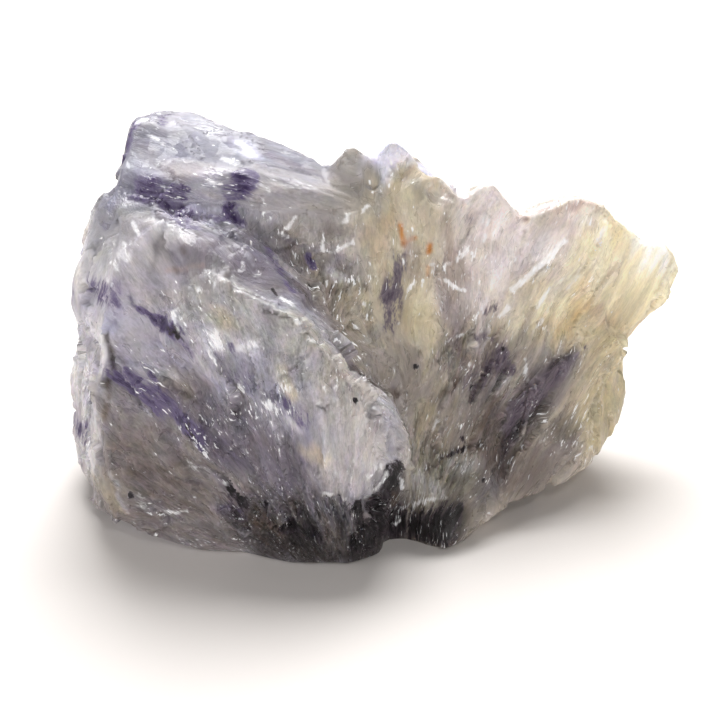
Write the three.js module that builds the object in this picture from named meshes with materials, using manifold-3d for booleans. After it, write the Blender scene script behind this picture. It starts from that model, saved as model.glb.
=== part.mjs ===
// A rough, broken piece of blue john, the banded fluorite, about 61 mm wide, 36 mm high and 41 mm deep.
// It is one stone. Two growths meet in a deep valley: on the left a blocky mass of stacked, sloping
// lumps under a flat roof, and on the right a fan of coarse columns that spread from a root in the base.
// The growths are made of convex lumps whose corners are given in millimetres. The lumps are fused,
// splinters that follow the grain of the stone are laid on them, the pocket is cut out, the skin is
// roughened, and the foot is trimmed flat where the stone rests.
// +X is to the right of the stone's front, +Y goes to its back, and +Z is up.

import * as THREE from "three";
import { ConvexGeometry } from "three/addons/geometries/ConvexGeometry.js";
import { ImprovedNoise } from "three/addons/math/ImprovedNoise.js";
import { mergeVertices } from "three/addons/utils/BufferGeometryUtils.js";
import Module from "manifold-3d";

const SKIN_STEP = 3.2; // longest edge of the roughened skin
const SLIVER = { before: 1.0, after: 0.12 }; // edges shorter than this are closed up, before and after
const SWELL = { height: 0.75, length: 9.0 }; // broad swells on the broken faces
const GRAIN = { height: 0.45, length: 3.6 }; // coarse grain on top of them
const GRAIN_STRETCH = 2.6; // how much longer the grain is along its direction than across it
const FAN_ROOT = new THREE.Vector3(2.0, -6.0, -12.0); // where the lines of the columns would meet
const FLOOR = 0.0; // height of the flat rest

const wasm = await Module();
wasm.setup();

// A closed geometry as a solid that can be joined and cut.
function solidFrom(geometry) {
  const bare = new THREE.BufferGeometry().setAttribute("position", geometry.getAttribute("position"));
  if (geometry.index) bare.setIndex(geometry.index);
  const merged = mergeVertices(bare, 1e-4);
  return new wasm.Manifold(
    new wasm.Mesh({
      numProp: 3,
      vertProperties: merged.attributes.position.array,
      triVerts: new Uint32Array(merged.index.array),
    }),
  );
}

// The skin of a solid: its points, and its faces as triples of indices.
function skinOf(solid) {
  const mesh = solid.getMesh();
  const points = [];
  const faces = [];
  for (let i = 0; i < mesh.numVert; i++) {
    points.push(new THREE.Vector3().fromArray(mesh.vertProperties, i * mesh.numProp));
  }
  for (let i = 0; i < mesh.numTri; i++) faces.push([...mesh.triVerts.slice(i * 3, i * 3 + 3)]);
  return { points, faces };
}

function geometryOf({ points, faces }) {
  return new THREE.BufferGeometry().setFromPoints(points).setIndex(faces.flat());
}

// A convex lump from its corners.
function lump(...corners) {
  return solidFrom(new ConvexGeometry(corners.map((corner) => new THREE.Vector3(...corner))));
}

// The left growth: a flat roof, the shoulder that swells out under its edge, the saddle between the
// shoulder and the valley, the square lower corner, and the long boulder that runs down across the front
// and ends in the nose, with the cheek and the foot under it.
function leftGrowth() {
  const roof = lump(
    [-23.7, -3.0, 33.1], [-23.3, 6.0, 35.7], [-20.7, 10.0, 35.3], [-16.1, 11.0, 34.1],
    [-9.4, 8.0, 32.3], [-4.9, 2.5, 31.8], [-4.8, -2.0, 32.0], [-13.0, -3.4, 33.3], [-20.6, -4.6, 32.8],
    [-25.5, 0.0, 22.0], [-25.0, 10.0, 22.0], [-14.0, 15.0, 20.0], [-2.0, 8.0, 20.0], [-5.0, -4.4, 25.0],
    [-12.0, -5.0, 25.0],
  );
  const shoulder = lump(
    [-24.3, -4.0, 31.7], [-25.6, -5.0, 30.0], [-27.0, -6.0, 25.6], [-28.0, -6.0, 23.1],
    [-28.1, -6.0, 21.1], [-27.6, -6.0, 19.0], [-21.6, -8.0, 30.6], [-19.3, -9.0, 30.3],
    [-15.7, -10.0, 29.4], [-12.1, -6.6, 28.9], [-23.6, -10.4, 27.0], [-20.6, -12.2, 25.9],
    [-16.4, -13.2, 24.6], [-24.6, -11.6, 21.6], [-23.9, -12.0, 19.5], [-12.0, -12.0, 20.0],
    [-27.0, 6.0, 26.0], [-28.0, 5.0, 18.0], [-10.0, 6.0, 20.0],
  );
  const saddle = lump(
    [-15.9, -10.0, 29.2], [-12.2, -8.2, 28.4], [-8.6, -7.6, 26.0], [-6.2, -9.2, 23.9],
    [-6.6, -12.0, 23.2], [-12.0, -13.4, 25.6], [-16.2, -12.9, 26.2], [-12.0, 0.0, 26.0],
    [-6.0, 0.0, 22.0], [-12.0, -4.0, 20.0],
  );
  const corner = lump(
    [-24.0, -12.0, 19.0], [-24.9, -13.0, 12.0], [-24.5, -13.0, 2.5], [-18.5, -15.0, 1.2],
    [-12.8, -15.6, -1.0], [-7.2, -15.0, 4.0], [-9.0, -14.8, 16.0], [-28.9, 1.0, 18.0],
    [-29.9, 2.0, 13.0], [-30.6, 1.0, 8.5], [-30.0, 0.0, 3.2], [-28.9, -4.5, 1.4], [-27.5, -8.5, 0.8],
    [-24.0, 10.0, -1.0], [-29.0, 9.0, 12.0], [-6.0, 0.0, -1.0],
  );
  const boulder = lump(
    [-17.2, -12.9, 26.6], [-14.3, -13.7, 26.4], [-12.1, -14.2, 25.9], [-6.9, -14.8, 23.4],
    [-2.5, -15.6, 18.5], [-6.0, -17.9, 14.0], [-11.3, -16.8, 16.4], [-19.0, -14.0, 21.0],
    [-12.0, -4.0, 27.0], [-2.0, -6.0, 19.0], [-14.0, -4.0, 12.0], [0.0, -8.0, 12.0],
  );
  const nose = lump(
    [-6.4, -16.6, 19.0], [-1.6, -15.8, 18.0], [1.6, -14.6, 14.8], [2.9, -15.2, 10.4], [1.8, -17.4, 8.6],
    [-0.4, -18.6, 8.0], [-3.4, -19.0, 8.0], [-6.2, -18.6, 8.8], [-9.6, -17.6, 10.6],
    [-11.4, -16.9, 14.8], [-4.4, -18.8, 12.6], [-0.6, -18.2, 12.4], [-2.0, -8.0, 16.0],
    [-6.0, -8.0, 6.0], [1.0, -8.0, 8.0],
  );
  const cheek = lump(
    [-16.5, -15.1, 16.0], [-8.5, -17.4, 14.6], [-6.4, -18.4, 9.4], [-5.2, -17.8, 5.6],
    [-12.0, -16.8, 5.0], [-19.0, -14.7, 7.0], [-9.0, -17.0, 2.5], [-15.5, -15.2, 2.0],
    [-10.0, -6.0, 14.0], [-8.0, -6.0, 4.0],
  );
  const foot = lump(
    [-13.0, -15.4, -1.0], [-7.2, -16.9, -1.0], [-1.6, -17.2, -1.0], [0.8, -15.8, -1.0],
    [-12.0, -15.6, 8.0], [-5.0, -17.7, 7.0], [-1.0, -17.4, 6.0], [-12.0, 0.0, -1.0], [2.0, -2.0, -1.0],
    [0.0, -6.0, 8.0],
  );
  return [roof, shoulder, saddle, corner, boulder, nose, cheek, foot];
}

// The inside of the stone, which every lump reaches into.
function heart() {
  return lump(
    [-21.0, 2.0, 30.0], [-8.0, 3.0, 28.0], [0.0, 4.0, 27.0], [9.0, 5.0, 24.0], [20.0, 7.0, 20.0],
    [22.0, 6.0, 12.0], [18.0, 3.0, 4.0], [2.0, -8.0, 3.0], [-18.0, -8.0, 3.0], [-25.0, 2.0, 4.0],
    [-24.0, 8.0, 20.0], [-10.0, 14.0, 20.0], [0.0, 12.0, 22.0], [9.0, 10.0, 18.0], [8.0, 12.0, 2.0],
    [-20.0, 12.0, 2.0],
  );
}

// Between the growths: the flat window under the roof's lower end, the knob at the valley's head, and
// the valley's rough floor.
function middle() {
  const window = lump(
    [-12.2, -4.0, 32.4], [-5.1, -3.4, 31.8], [-2.0, -1.4, 30.6], [0.2, -1.0, 28.6], [0.0, -3.0, 26.0],
    [-4.8, -5.5, 25.6], [-10.6, -6.2, 27.2], [-12.0, 4.0, 27.0], [-1.0, 4.0, 30.0], [-2.0, 6.0, 24.0],
    [-4.0, 0.0, 22.0],
  );
  const knob = lump(
    [-3.9, 2.4, 32.4], [-3.2, 2.8, 33.3], [-1.9, 3.0, 33.4], [-0.6, 2.4, 32.3], [-4.6, -1.8, 29.6],
    [0.4, -1.6, 29.0], [-3.4, 6.0, 32.0], [-1.0, 6.0, 32.0], [-2.0, 8.0, 26.0],
  );
  const floor = lump(
    [-11.0, -5.8, 27.0], [-3.9, -4.9, 25.2], [-0.6, -2.6, 25.4], [0.8, -4.6, 21.5], [2.0, -6.6, 17.1],
    [2.8, -8.8, 12.6], [-1.4, -11.2, 15.6], [-3.2, -11.0, 18.0], [-7.0, -10.4, 22.2],
    [-9.7, -9.7, 24.4], [-6.0, 2.0, 26.0], [4.0, 0.0, 20.0], [-8.0, 0.0, 12.0], [4.0, -4.0, 9.0],
  );
  return [window, knob, floor];
}

// The fan's columns from the valley round to the outer notch: the corners of each one's top, and how far
// its front is set back.
const COLUMNS = [
  { set: 0.3, tops: [[-0.4, 0.6, 32.0], [1.4, 0.6, 32.3], [3.0, 0.8, 31.7]] },
  { set: 0.0, tops: [[2.8, 0.8, 31.8], [5.2, 1.0, 31.0], [8.2, 1.4, 28.8]] },
  {
    set: 0.55,
    tops: [[8.0, 1.4, 28.8], [10.0, 1.8, 29.4], [10.9, 2.0, 29.9], [11.8, 2.0, 29.3], [14.2, 2.4, 26.6]],
  },
  {
    set: 0.2,
    tops: [[14.0, 2.4, 26.6], [17.6, 3.0, 27.3], [19.9, 4.0, 27.9], [22.0, 4.0, 27.2], [23.2, 4.0, 26.2]],
  },
  { set: 0.55, tops: [[23.0, 4.0, 26.3], [24.6, 4.4, 25.4], [26.3, 5.0, 23.9]] },
  {
    set: 0.2,
    tops: [[26.2, 5.0, 23.6], [28.9, 5.0, 23.3], [30.1, 5.0, 21.6], [30.4, 5.0, 20.3], [29.2, 4.0, 18.0]],
  },
  { set: 0.55, tops: [[29.4, 4.4, 18.6], [28.2, 3.6, 17.0], [26.6, 3.0, 16.2], [25.0, 2.2, 14.4]] },
];
const ROOT_LINE = new THREE.LineCurve3(
  new THREE.Vector3(-1.0, -13.8, 3.4),
  new THREE.Vector3(15.0, -9.4, 2.4),
);
const COLUMN_THICKNESS = { top: 5.5, root: 17.0 };
const COLUMN_KEEL = 0.5; // how far the middle of a column's front stands out
const WEB = { drop: 0.12, set: 0.1 }; // how far down the columns a web begins, and how far it is set back

// A wedge between a column's top corners and two points of the root line, with its front set back.
function wedge(tops, roots, set, keelOut) {
  const backs = [
    ...tops.map((top) => top.clone().add(new THREE.Vector3(-1.0, COLUMN_THICKNESS.top, -2.0))),
    ...roots.map((root) => root.clone().add(new THREE.Vector3(0, COLUMN_THICKNESS.root, -2.0))),
  ];
  const fronts = [...tops, ...roots].map((corner) => corner.clone().setY(corner.y + set));
  const keel = new THREE.Vector3(0, -keelOut, 0);
  fronts.forEach((corner) => keel.addScaledVector(corner, 1 / fronts.length));
  return solidFrom(new ConvexGeometry([...fronts, ...backs, keel]));
}

// The fan: broad keeled columns that share the root line, and the web that fills the furrow between each
// two of them.
function fan() {
  const tops = COLUMNS.map((column) => column.tops.map((top) => new THREE.Vector3(...top)));
  const rootAt = (n) => ROOT_LINE.getPoint(n / COLUMNS.length);
  const columns = COLUMNS.map(({ set }, i) => wedge(tops[i], [rootAt(i), rootAt(i + 1)], set, COLUMN_KEEL));
  const webs = COLUMNS.slice(1).map(({ set }, i) => {
    const ends = [tops[i][tops[i].length >> 1], tops[i + 1][tops[i + 1].length >> 1]];
    const roots = [rootAt(i + 0.5), rootAt(i + 1.5)];
    const lowered = ends.map((end, n) => end.clone().lerp(roots[n], WEB.drop));
    return wedge(lowered, roots, Math.max(set, COLUMNS[i].set) + WEB.set, 0);
  });
  return [...columns, ...webs];
}

// What stands behind and beside the fan: the ridge behind the crest, the rounded outer flank, and the toe
// and the root under the columns.
function fanSurround() {
  const ridge = lump(
    [-0.4, 8.0, 30.9], [1.0, 10.0, 31.8], [3.2, 10.0, 31.2], [6.5, 9.0, 28.5], [9.0, 7.0, 27.2],
    [-3.0, 14.0, 22.0], [9.0, 12.0, 18.0], [-4.0, 4.0, 24.0], [8.0, 3.0, 22.0],
  );
  const flank = lump(
    [24.6, 2.0, 14.6], [26.0, 3.0, 9.5], [25.5, 2.6, 6.9], [24.0, 0.0, 4.6], [20.3, -4.4, 2.8],
    [17.0, -7.0, 2.2], [12.6, -10.0, 2.2], [15.0, -6.6, 13.0], [20.0, -2.5, 17.0], [23.0, 9.0, 12.0],
    [20.0, 9.0, 3.0], [10.0, 4.0, 1.0],
  );
  const toe = lump(
    [2.6, -9.9, 9.8], [2.9, -13.2, 5.4], [4.8, -14.2, 4.4], [6.6, -14.0, 4.2], [9.9, -12.2, 3.6],
    [12.6, -10.4, 2.0], [12.4, -7.0, 9.0], [8.8, -7.2, 11.6], [5.4, -8.4, 11.6], [6.3, -15.2, 0.6],
    [9.7, -13.0, 1.4], [6.0, -14.4, -1.0], [10.0, -8.0, -1.0], [2.0, -4.0, -1.0], [4.0, -6.0, 11.0],
  );
  const root = lump(
    [-1.0, -12.6, -1.0], [6.5, -12.4, -1.0], [-1.0, -13.6, 7.0], [3.6, -12.8, 7.4], [7.0, -12.6, 4.0],
    [-1.0, -4.0, -1.0], [6.0, -4.0, -1.0], [2.0, -6.0, 9.0],
  );
  return [ridge, flank, toe, root];
}

// The back of the stone, broken along steep faces that step down to both sides.
function back() {
  const wall = lump(
    [-28.0, 6.0, 3.0], [-24.0, 14.0, 0.0], [-12.0, 19.0, -1.0], [4.0, 18.0, -1.0], [12.0, 8.0, -1.0],
    [-27.5, 8.0, 20.0], [-22.0, 13.5, 27.0], [-10.0, 18.0, 22.0], [2.0, 15.0, 24.0], [9.0, 8.0, 22.0],
    [-20.0, 0.0, -1.0], [4.0, -6.0, -1.0],
  );
  const step = lump(
    [-17.0, 16.0, 2.0], [-12.0, 20.5, 3.0], [-3.0, 20.8, 2.0], [1.0, 17.0, 1.0], [-14.0, 18.4, 15.0],
    [-5.0, 19.6, 17.0], [-9.0, 12.0, 18.0], [-9.0, 10.0, 0.0],
  );
  const buttress = lump(
    [6.0, 14.0, 1.0], [14.0, 14.5, 2.5], [21.0, 8.5, 4.0], [8.0, 14.0, 14.0], [16.0, 11.5, 15.0],
    [20.0, 8.0, 19.0], [8.0, 5.0, 20.0], [6.0, 2.0, 0.0],
  );
  return [wall, step, buttress];
}

// The pocket that has broken out under the nose.
function pocket() {
  return lump(
    [0.6, -20.0, -2.0], [5.2, -20.0, -2.0], [2.9, -20.0, 8.0], [2.6, -13.6, 6.6], [1.4, -11.6, -2.0],
    [4.0, -11.4, -2.0],
  );
}

// A seeded run of numbers between two bounds.
function seeded(seed) {
  let state = seed;
  return (low, high) => {
    state = (state * 1664525 + 1013904223) % 4294967296;
    return low + ((high - low) * state) / 4294967296;
  };
}

const towardsRoot = (point) => FAN_ROOT.clone().sub(point);
const steady = (x, y, z) => () => new THREE.Vector3(x, y, z);

// Fields of splinters: the side they are set from, the box they are set in, the direction they run in,
// and how many, how long, how wide and how proud they are.
const SPLINTERS = [
  {
    side: [0, -1, 0.2], low: [-26, 0, 4], high: [-2, 0, 30], run: steady(0.7, -0.15, -0.7),
    count: 18, long: [4, 8], wide: [1.4, 2.6], proud: 0.35,
  },
  {
    side: [0, -1, 0.3], low: [1, 0, 5], high: [27, 0, 20], run: towardsRoot,
    count: 16, long: [8, 14], wide: [1.6, 2.8], proud: 0.3,
  },
  {
    side: [-1, -0.3, 0], low: [0, -10, 3], high: [0, 8, 24], run: steady(0.1, 0.15, -1),
    count: 9, long: [5, 11], wide: [1.2, 2.2], proud: 0.35,
  },
  {
    side: [0, 1, 0.2], low: [-24, 0, 3], high: [18, 0, 20], run: steady(0.35, 0, -1),
    count: 9, long: [9, 14], wide: [5, 9], proud: 1.7,
  },
  {
    side: [0, 1, 0.2], low: [-24, 0, 4], high: [22, 0, 22], run: steady(0.3, 0, -1),
    count: 12, long: [5, 10], wide: [1.6, 3.2], proud: 0.6,
  },
];
const SPLINTER_DEPTH = 1.2; // how deep a splinter is rooted in the stone
const SPLINTER_FIT = 1.5; // how far the surface may stray under a splinter, as a share of its pride

// A splinter on the surface at a point: a long, low roof shape that runs along the grain.
function splinter(point, normal, along, long, wide, proud) {
  const across = new THREE.Vector3().crossVectors(normal, along);
  const at = (a, b, n) => {
    const corner = point.clone().addScaledVector(normal, n);
    return corner.addScaledVector(along, a * long).addScaledVector(across, b * wide);
  };
  return solidFrom(
    new ConvexGeometry([
      at(-0.5, 0.05, -0.1), at(0.5, -0.1, -0.1), at(-0.25, 0.1, proud), at(0.2, -0.05, proud * 0.8),
      at(-0.2, 0.5, -0.2), at(0.2, 0.4, -0.2), at(-0.2, -0.4, -0.2), at(0.25, -0.5, -0.2),
      at(-0.3, 0.1, -SPLINTER_DEPTH), at(0.3, -0.1, -SPLINTER_DEPTH),
    ]),
  );
}

// The splinters of all fields, set where lines from their side meet a stretch of stone that is flat enough.
function splinters(stone) {
  const target = new THREE.Mesh(geometryOf(skinOf(stone)));
  const caster = new THREE.Raycaster();
  const pick = seeded(20);
  const hitAt = (spot, side) => {
    caster.set(spot.clone().addScaledVector(side, 80), side.clone().negate());
    return caster.intersectObject(target)[0];
  };
  return SPLINTERS.flatMap((field) => {
    const side = new THREE.Vector3(...field.side).normalize();
    const set = [];
    for (let tries = 0; tries < 400 && set.length < field.count; tries++) {
      const spot = field.low.map((low, axis) => pick(low, field.high[axis]));
      const hit = hitAt(new THREE.Vector3(...spot), side);
      const [long, wide, proud] = [pick(...field.long), pick(...field.wide), field.proud * pick(0.7, 1.2)];
      if (!hit) continue;
      const { point, face: { normal } } = hit;
      const run = field.run(point);
      const along = run.addScaledVector(normal, -run.dot(normal)).normalize();
      const strays = [-0.5, -0.25, 0.25, 0.5].map((part) => {
        const end = hitAt(point.clone().addScaledVector(along, part * long), side);
        return end ? Math.abs(end.point.sub(point).dot(normal)) : Infinity;
      });
      if (Math.max(...strays) > SPLINTER_FIT * proud) continue;
      set.push(splinter(point, normal, along, long, wide, proud));
    }
    return set;
  });
}

// The skin without what is closed in under it: only the faces that hang together with the highest point.
function outermost({ points, faces }) {
  const around = points.map(() => []);
  faces.forEach((face) => face.forEach((p) => around[p].push(face)));
  const top = points.reduce((best, point, i) => (point.z > points[best].z ? i : best), 0);
  const reached = new Set([top]);
  for (const p of reached) around[p].forEach((face) => face.forEach((q) => reached.add(q)));
  return { points, faces: faces.filter((face) => reached.has(face[0])) };
}

// The skin with its short edges closed up, wherever that neither tears nor folds it, nor lifts it off
// the floor.
function withoutSlivers({ points, faces }, span) {
  const skin = faces.map((face) => [...face]);
  const around = points.map(() => new Set());
  skin.forEach((face, f) => face.forEach((p) => around[p].add(f)));
  const ringOf = (p) => new Set([...around[p]].flatMap((f) => skin[f]).filter((q) => q !== p));
  const onFloor = (point) => Math.abs(point.z - FLOOR) < 1e-3;
  const facing = (face, moved, place) => {
    const [a, b, c] = face.map((p) => (p === moved ? place : points[p]));
    return b.clone().sub(a).cross(c.clone().sub(a));
  };
  const staysFlat = (from, into) =>
    [...around[from]].every((f) => {
      if (skin[f].includes(into)) return true;
      const before = facing(skin[f]);
      const after = facing(skin[f], from, points[into]);
      return after.length() > 0.02 && (before.length() < 0.02 || before.angleTo(after) < 0.7);
    });
  const close = (from, into) => {
    for (const f of around[from]) {
      if (skin[f].includes(into)) {
        skin[f].forEach((p) => p !== from && around[p].delete(f));
        skin[f] = null;
      } else {
        skin[f] = skin[f].map((p) => (p === from ? into : p));
        around[into].add(f);
      }
    }
    around[from].clear();
  };
  for (let more = true; more; ) {
    more = false;
    for (let from = 0; from < points.length; from++) {
      const ring = ringOf(from);
      const into = [...ring].find((q) => {
        if (points[from].distanceTo(points[q]) > span) return false;
        if (onFloor(points[from]) && !onFloor(points[q])) return false;
        const other = ringOf(q);
        return [...ring].filter((p) => other.has(p)).length === 2 && staysFlat(from, q);
      });
      if (into === undefined) continue;
      close(from, into);
      more = true;
    }
  }
  return { points, faces: skin.filter(Boolean) };
}

// The skin with edges no longer than SKIN_STEP.
function refined(skin) {
  const points = [...skin.points];
  let faces = skin.faces;
  const middles = new Map();
  const middleOf = (a, b) => {
    const key = Math.min(a, b) + "," + Math.max(a, b);
    if (!middles.has(key)) middles.set(key, points.push(points[a].clone().lerp(points[b], 0.5)) - 1);
    return middles.get(key);
  };
  for (let more = true; more; ) {
    more = false;
    faces = faces.flatMap((face) => {
      const lengths = face.map((a, i) => points[a].distanceTo(points[face[(i + 1) % 3]]));
      const longest = lengths.indexOf(Math.max(...lengths));
      if (lengths[longest] <= SKIN_STEP) return [face];
      more = true;
      const [a, b, c] = [0, 1, 2].map((i) => face[(longest + i) % 3]);
      const middle = middleOf(a, b);
      return [[a, middle, c], [middle, b, c]];
    });
  }
  return { points, faces };
}

const noise = new ImprovedNoise();

// How far the skin stands out at a point: broad swells, and a grain that is drawn out along the lines
// from the fan's root.
function reliefAt(point) {
  const swell = point.clone().divideScalar(SWELL.length);
  const out = point.clone().sub(FAN_ROOT);
  const reach = out.length();
  const grain = out.multiplyScalar(30 / reach + 1 / GRAIN_STRETCH).divideScalar(GRAIN.length);
  return (
    SWELL.height * noise.noise(swell.x + 7.3, swell.y, swell.z) +
    GRAIN.height * noise.noise(grain.x, grain.y + 4.1, grain.z)
  );
}

// The skin with each point moved along its normal by the relief there, as a geometry.
function roughened(skin) {
  const geometry = geometryOf(skin);
  geometry.computeVertexNormals();
  const places = geometry.getAttribute("position");
  const normals = geometry.getAttribute("normal");
  const normal = new THREE.Vector3();
  skin.points.forEach((point, i) => {
    normal.fromBufferAttribute(normals, i);
    places.setXYZ(i, ...point.clone().addScaledVector(normal, reliefAt(point)));
  });
  return geometry;
}

// Everything under the floor, as a box to cut away.
function underFloor() {
  const size = 200;
  return solidFrom(new THREE.BoxGeometry(size, size, size).translate(0, 0, FLOOR - size / 2));
}

const joinAll = (solids) => solids.reduce((all, solid) => all.add(solid));
const bare = joinAll([heart(), ...leftGrowth(), ...middle(), ...fan(), ...fanSurround(), ...back()]);
const carved = joinAll([bare, ...splinters(bare)]).subtract(pocket());
const skin = refined(withoutSlivers(outermost(skinOf(carved)), SLIVER.before));
const trimmed = solidFrom(roughened(skin)).subtract(underFloor());

// The finished solid's mesh, centred over its own footprint.
const shape = geometryOf(withoutSlivers(outermost(skinOf(trimmed)), SLIVER.after));
shape.computeBoundingBox();
const centre = shape.boundingBox.getCenter(new THREE.Vector3());
shape.translate(-centre.x, -centre.y, 0);

const material = new THREE.MeshStandardMaterial({ color: 0xb3aeb4, roughness: 0.45, metalness: 0 });
const stone = new THREE.Mesh(shape, material);
stone.name = "fluorite";

const specimen = new THREE.Group();
specimen.add(stone);
export default specimen;
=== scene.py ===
"""The looks of a rough piece of blue john, the banded fluorite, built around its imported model.

One piece, the stone's skin, stands for the CAD node. It is a fine copy of that solid, broken into chips and
ledges that follow the grain, and painted with soft marks that sit where a person would point to them on the
stone's front, back and sides. Sizes are in millimetres unless a name or a comment says otherwise. The frame
is in metres.
"""

import math

import bpy
import numpy as np
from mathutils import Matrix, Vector, noise
from mathutils.bvhtree import BVHTree


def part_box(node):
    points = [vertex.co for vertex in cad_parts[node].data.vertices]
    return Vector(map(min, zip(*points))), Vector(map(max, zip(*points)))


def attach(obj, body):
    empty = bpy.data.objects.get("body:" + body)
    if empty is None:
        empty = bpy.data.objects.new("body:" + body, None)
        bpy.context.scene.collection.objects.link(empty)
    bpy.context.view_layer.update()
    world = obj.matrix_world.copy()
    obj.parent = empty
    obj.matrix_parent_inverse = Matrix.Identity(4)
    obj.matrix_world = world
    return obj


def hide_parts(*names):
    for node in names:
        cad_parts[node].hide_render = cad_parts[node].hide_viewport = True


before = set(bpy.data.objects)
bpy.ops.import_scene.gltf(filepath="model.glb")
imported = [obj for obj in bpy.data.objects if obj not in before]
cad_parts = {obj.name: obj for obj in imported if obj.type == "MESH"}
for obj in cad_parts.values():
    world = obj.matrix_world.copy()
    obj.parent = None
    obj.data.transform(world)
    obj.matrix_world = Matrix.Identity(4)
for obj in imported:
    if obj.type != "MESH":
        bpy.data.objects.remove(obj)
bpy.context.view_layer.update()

MM = 0.001
NODE = "fluorite"
NOISE_SEED = 3

# The skin
SKIN_STEP = 0.27  # edge length of the fine skin
PLUGS = (  # where pockets are filled: the middle and the radii
    ((-20.0, -4.5, 18.3), (6.4, 3.4, 3.0)),
    ((-23.4, 3.4, 16.0), (4.3, 3.8, 3.4)),
)
WELD = 1e-6  # distance in metres at which the CAD mesh's doubled vertices are merged
CLOSING = 0.9  # half the width of the slits between the CAD model's lumps that the skin fills
SMOOTHING = 12  # passes that melt the CAD model's flat facets into one another
MELTING = 80  # passes that melt the places that are melted
KEPT_SHARE = 0.7  # of the fine skin's triangles, once its back and underside are made coarser
CHIPS = ((3.4, 1.8), (1.6, 0.5), (0.75, 0.1))  # width of a chip, and how deep its tilt goes
CHIP_STRETCH = 2.2  # how many times as long as wide a chip is
CHIP_SWAY = 2.5  # how far the rows of chips wander
RIB_HEIGHT = 0.14  # of the ribs along the grain
RIB_STRETCH = 5.0
TOP_SPARE = 0.8  # how far the skin may stand over the CAD model's top
REST_BAND = 0.5  # height over the table in which the skin keeps the flat rest
CREST_MOST = 0.5  # the sharpest crest or hollow that is told apart
SEAM_JUMP = 5.0  # how many of the skin's steps the grain jumps by where two growths meet

# The camera stands in front of the stone and looks down on it.
AIM = Vector((-1.6, 0.0, 12.3))
CAMERA_HEIGHT_DEG = 25.0
CAMERA_DISTANCE = 140.0
SIDE_DISTANCE = 100.0  # from which the level views look at the stone
LENS = 70.0
SENSOR = 36.0

# Where the growths meet. The left growth's border with the fan runs up through these places.
BORDER_HEIGHTS = (0.0, 5.0, 14.0, 20.0, 26.0, 34.0)
BORDER_PLACES = (0.0, 2.6, 2.5, 0.0, -2.0, -1.0)
ROOF_EDGE = (28.3, 29.3)  # heights between which the roof starts, over the middle of the stone
ROOF_FALL = 0.12  # how far the roof's edge falls for each millimetre to the right
STRIP_EDGE = (20.0, 22.0)  # how far to the left the strip at the left edge starts
STRIP_FACING = (0.55, 0.75)  # how squarely the strip looks to the left

# The grain. The left growth's fibres spread up and to the left from a root in its foot, and the fan's columns
# spread from another, until they lean as far as LEAN_MOST.
LEFT_ROOT = Vector((-2.6, -12.0, -3.5))
LEFT_REACH = 24.0  # distance from the root at which the left grain has its true width
BACK_START = 3.0  # depth from which the left grain is made straighter, for the back
BACK_SINKING = 1.6  # how far the root sinks for it, for each millimetre farther back
FAN_ROOT = Vector((1.7, 0.0, -3.5))
FAN_REACH = 23.5  # height over the root at which the fan's grain has its true width
FAN_NARROWEST = 0.3  # share of its true width to which the fan's grain narrows near the root
FAN_ALONG = 0.8  # how quickly the fan's grain changes along the columns, against across them
LEAN_MOST = 0.72  # how far the outermost columns lean to the right for each millimetre that they rise
ROOF_GRAIN = Vector((0.93, 0.2, -0.3)).normalized()
DEPTH_SHARE = 0.4  # how quickly the grain changes into the stone's depth, against across its face
SWAYS = ((6.0, 1.0, 3), (0.9, 0.05, 4))  # lumps in which the grain wavers: their size, reach and seed

# How the paint varies
INWARD_STEPS = 12  # how often a mark's place beside the stone is moved inwards
INWARD_STEP = 0.01  # share of its distance by which it is moved each time
RAGGED_WIDTH = 3.0  # width from which a mark is fully ragged
MARK_EDGE = (0.08, 0.92)  # shares of a mark's width between which it fades out
LEAST_MELTED = 0.01  # amount from which a vertex counts as melted
FAN_CALM = 0.35  # how much calmer than the left growth the fan is
ROOF_CALM = 0.65  # and how much calmer the roof is
LEAST_CONTRAST = 0.3  # share of the paint's variation that is left in a wholly calm place
SEAM_CALM = 0.8  # how much calmer the surface is on a seam
LUMP_SIZE = 4.0  # of the lumps that make marks ragged
CLOUD_SIZE = 0.9
CLOUD_SHAPE = (1.0, 0.6, 0.25)  # how quickly the clouds change across the grain, in depth and along it
CLOUD_REACH = 2.6  # how far the clouds move a mark along the grain
CLOUD_TONE = 0.2  # how much lighter or darker they make the stone
SAND_FADE = 2.5  # distance from the growths' border over which one's tone turns into the other's
SAND_RAGGEDNESS = 0.6
WINDOW_FACING = (0.2, 0.8)  # how squarely a face that is lit by the window looks to the back
WINDOW_SHADE = 0.28  # how much darker it is painted: painted shade on the faces that the window lights
MAUVE_SHIFT = (11.0, 23.0, 3.0)  # shifts that keep one noise from following another
SPARK_SHIFT = (31.0, 7.0, 13.0)
SHADOW_SHIFT = (5.0, 57.0, 29.0)
WARMER = (0.3, 0.12, -0.4)  # change of red, green and blue where the stone is warmer
MORE_MAUVE = (0.1, -0.2, 0.24)  # and where it is more mauve
BUMP_DEPTH = 0.2
FLUORITE_IOR = 1.43
SUBSURFACE_DEPTH = 1.5

# The stage. A light's place, width and height are in metres, and its power is in watts.
TABLE_COLOUR = (0.69, 0.655, 0.63, 1.0)
TABLE_FADE = (0.08, 0.4)  # distances in metres from the stone between which the table turns white
SKY_COLOUR = (1.0, 0.97, 0.94, 1.0)
LIGHTS = (
    ("window", (0.0, 0.2, 0.33), 0.28, 0.26, 3.2),
    ("wall", (0.1, -0.33, 0.07), 0.3, 0.11, 0.44),
    ("side", (-0.3, -0.1, 0.1), 0.2, 0.15, 0.4),
    ("lamp", (0.08, -0.24, 0.3), 0.04, 0.04, 0.15),
)


def deselect():
    bpy.ops.object.select_all(action="DESELECT")


def choose(piece):
    """Makes piece the only selected object and the active one."""
    deselect()
    piece.select_set(True)
    bpy.context.view_layer.objects.active = piece


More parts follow.
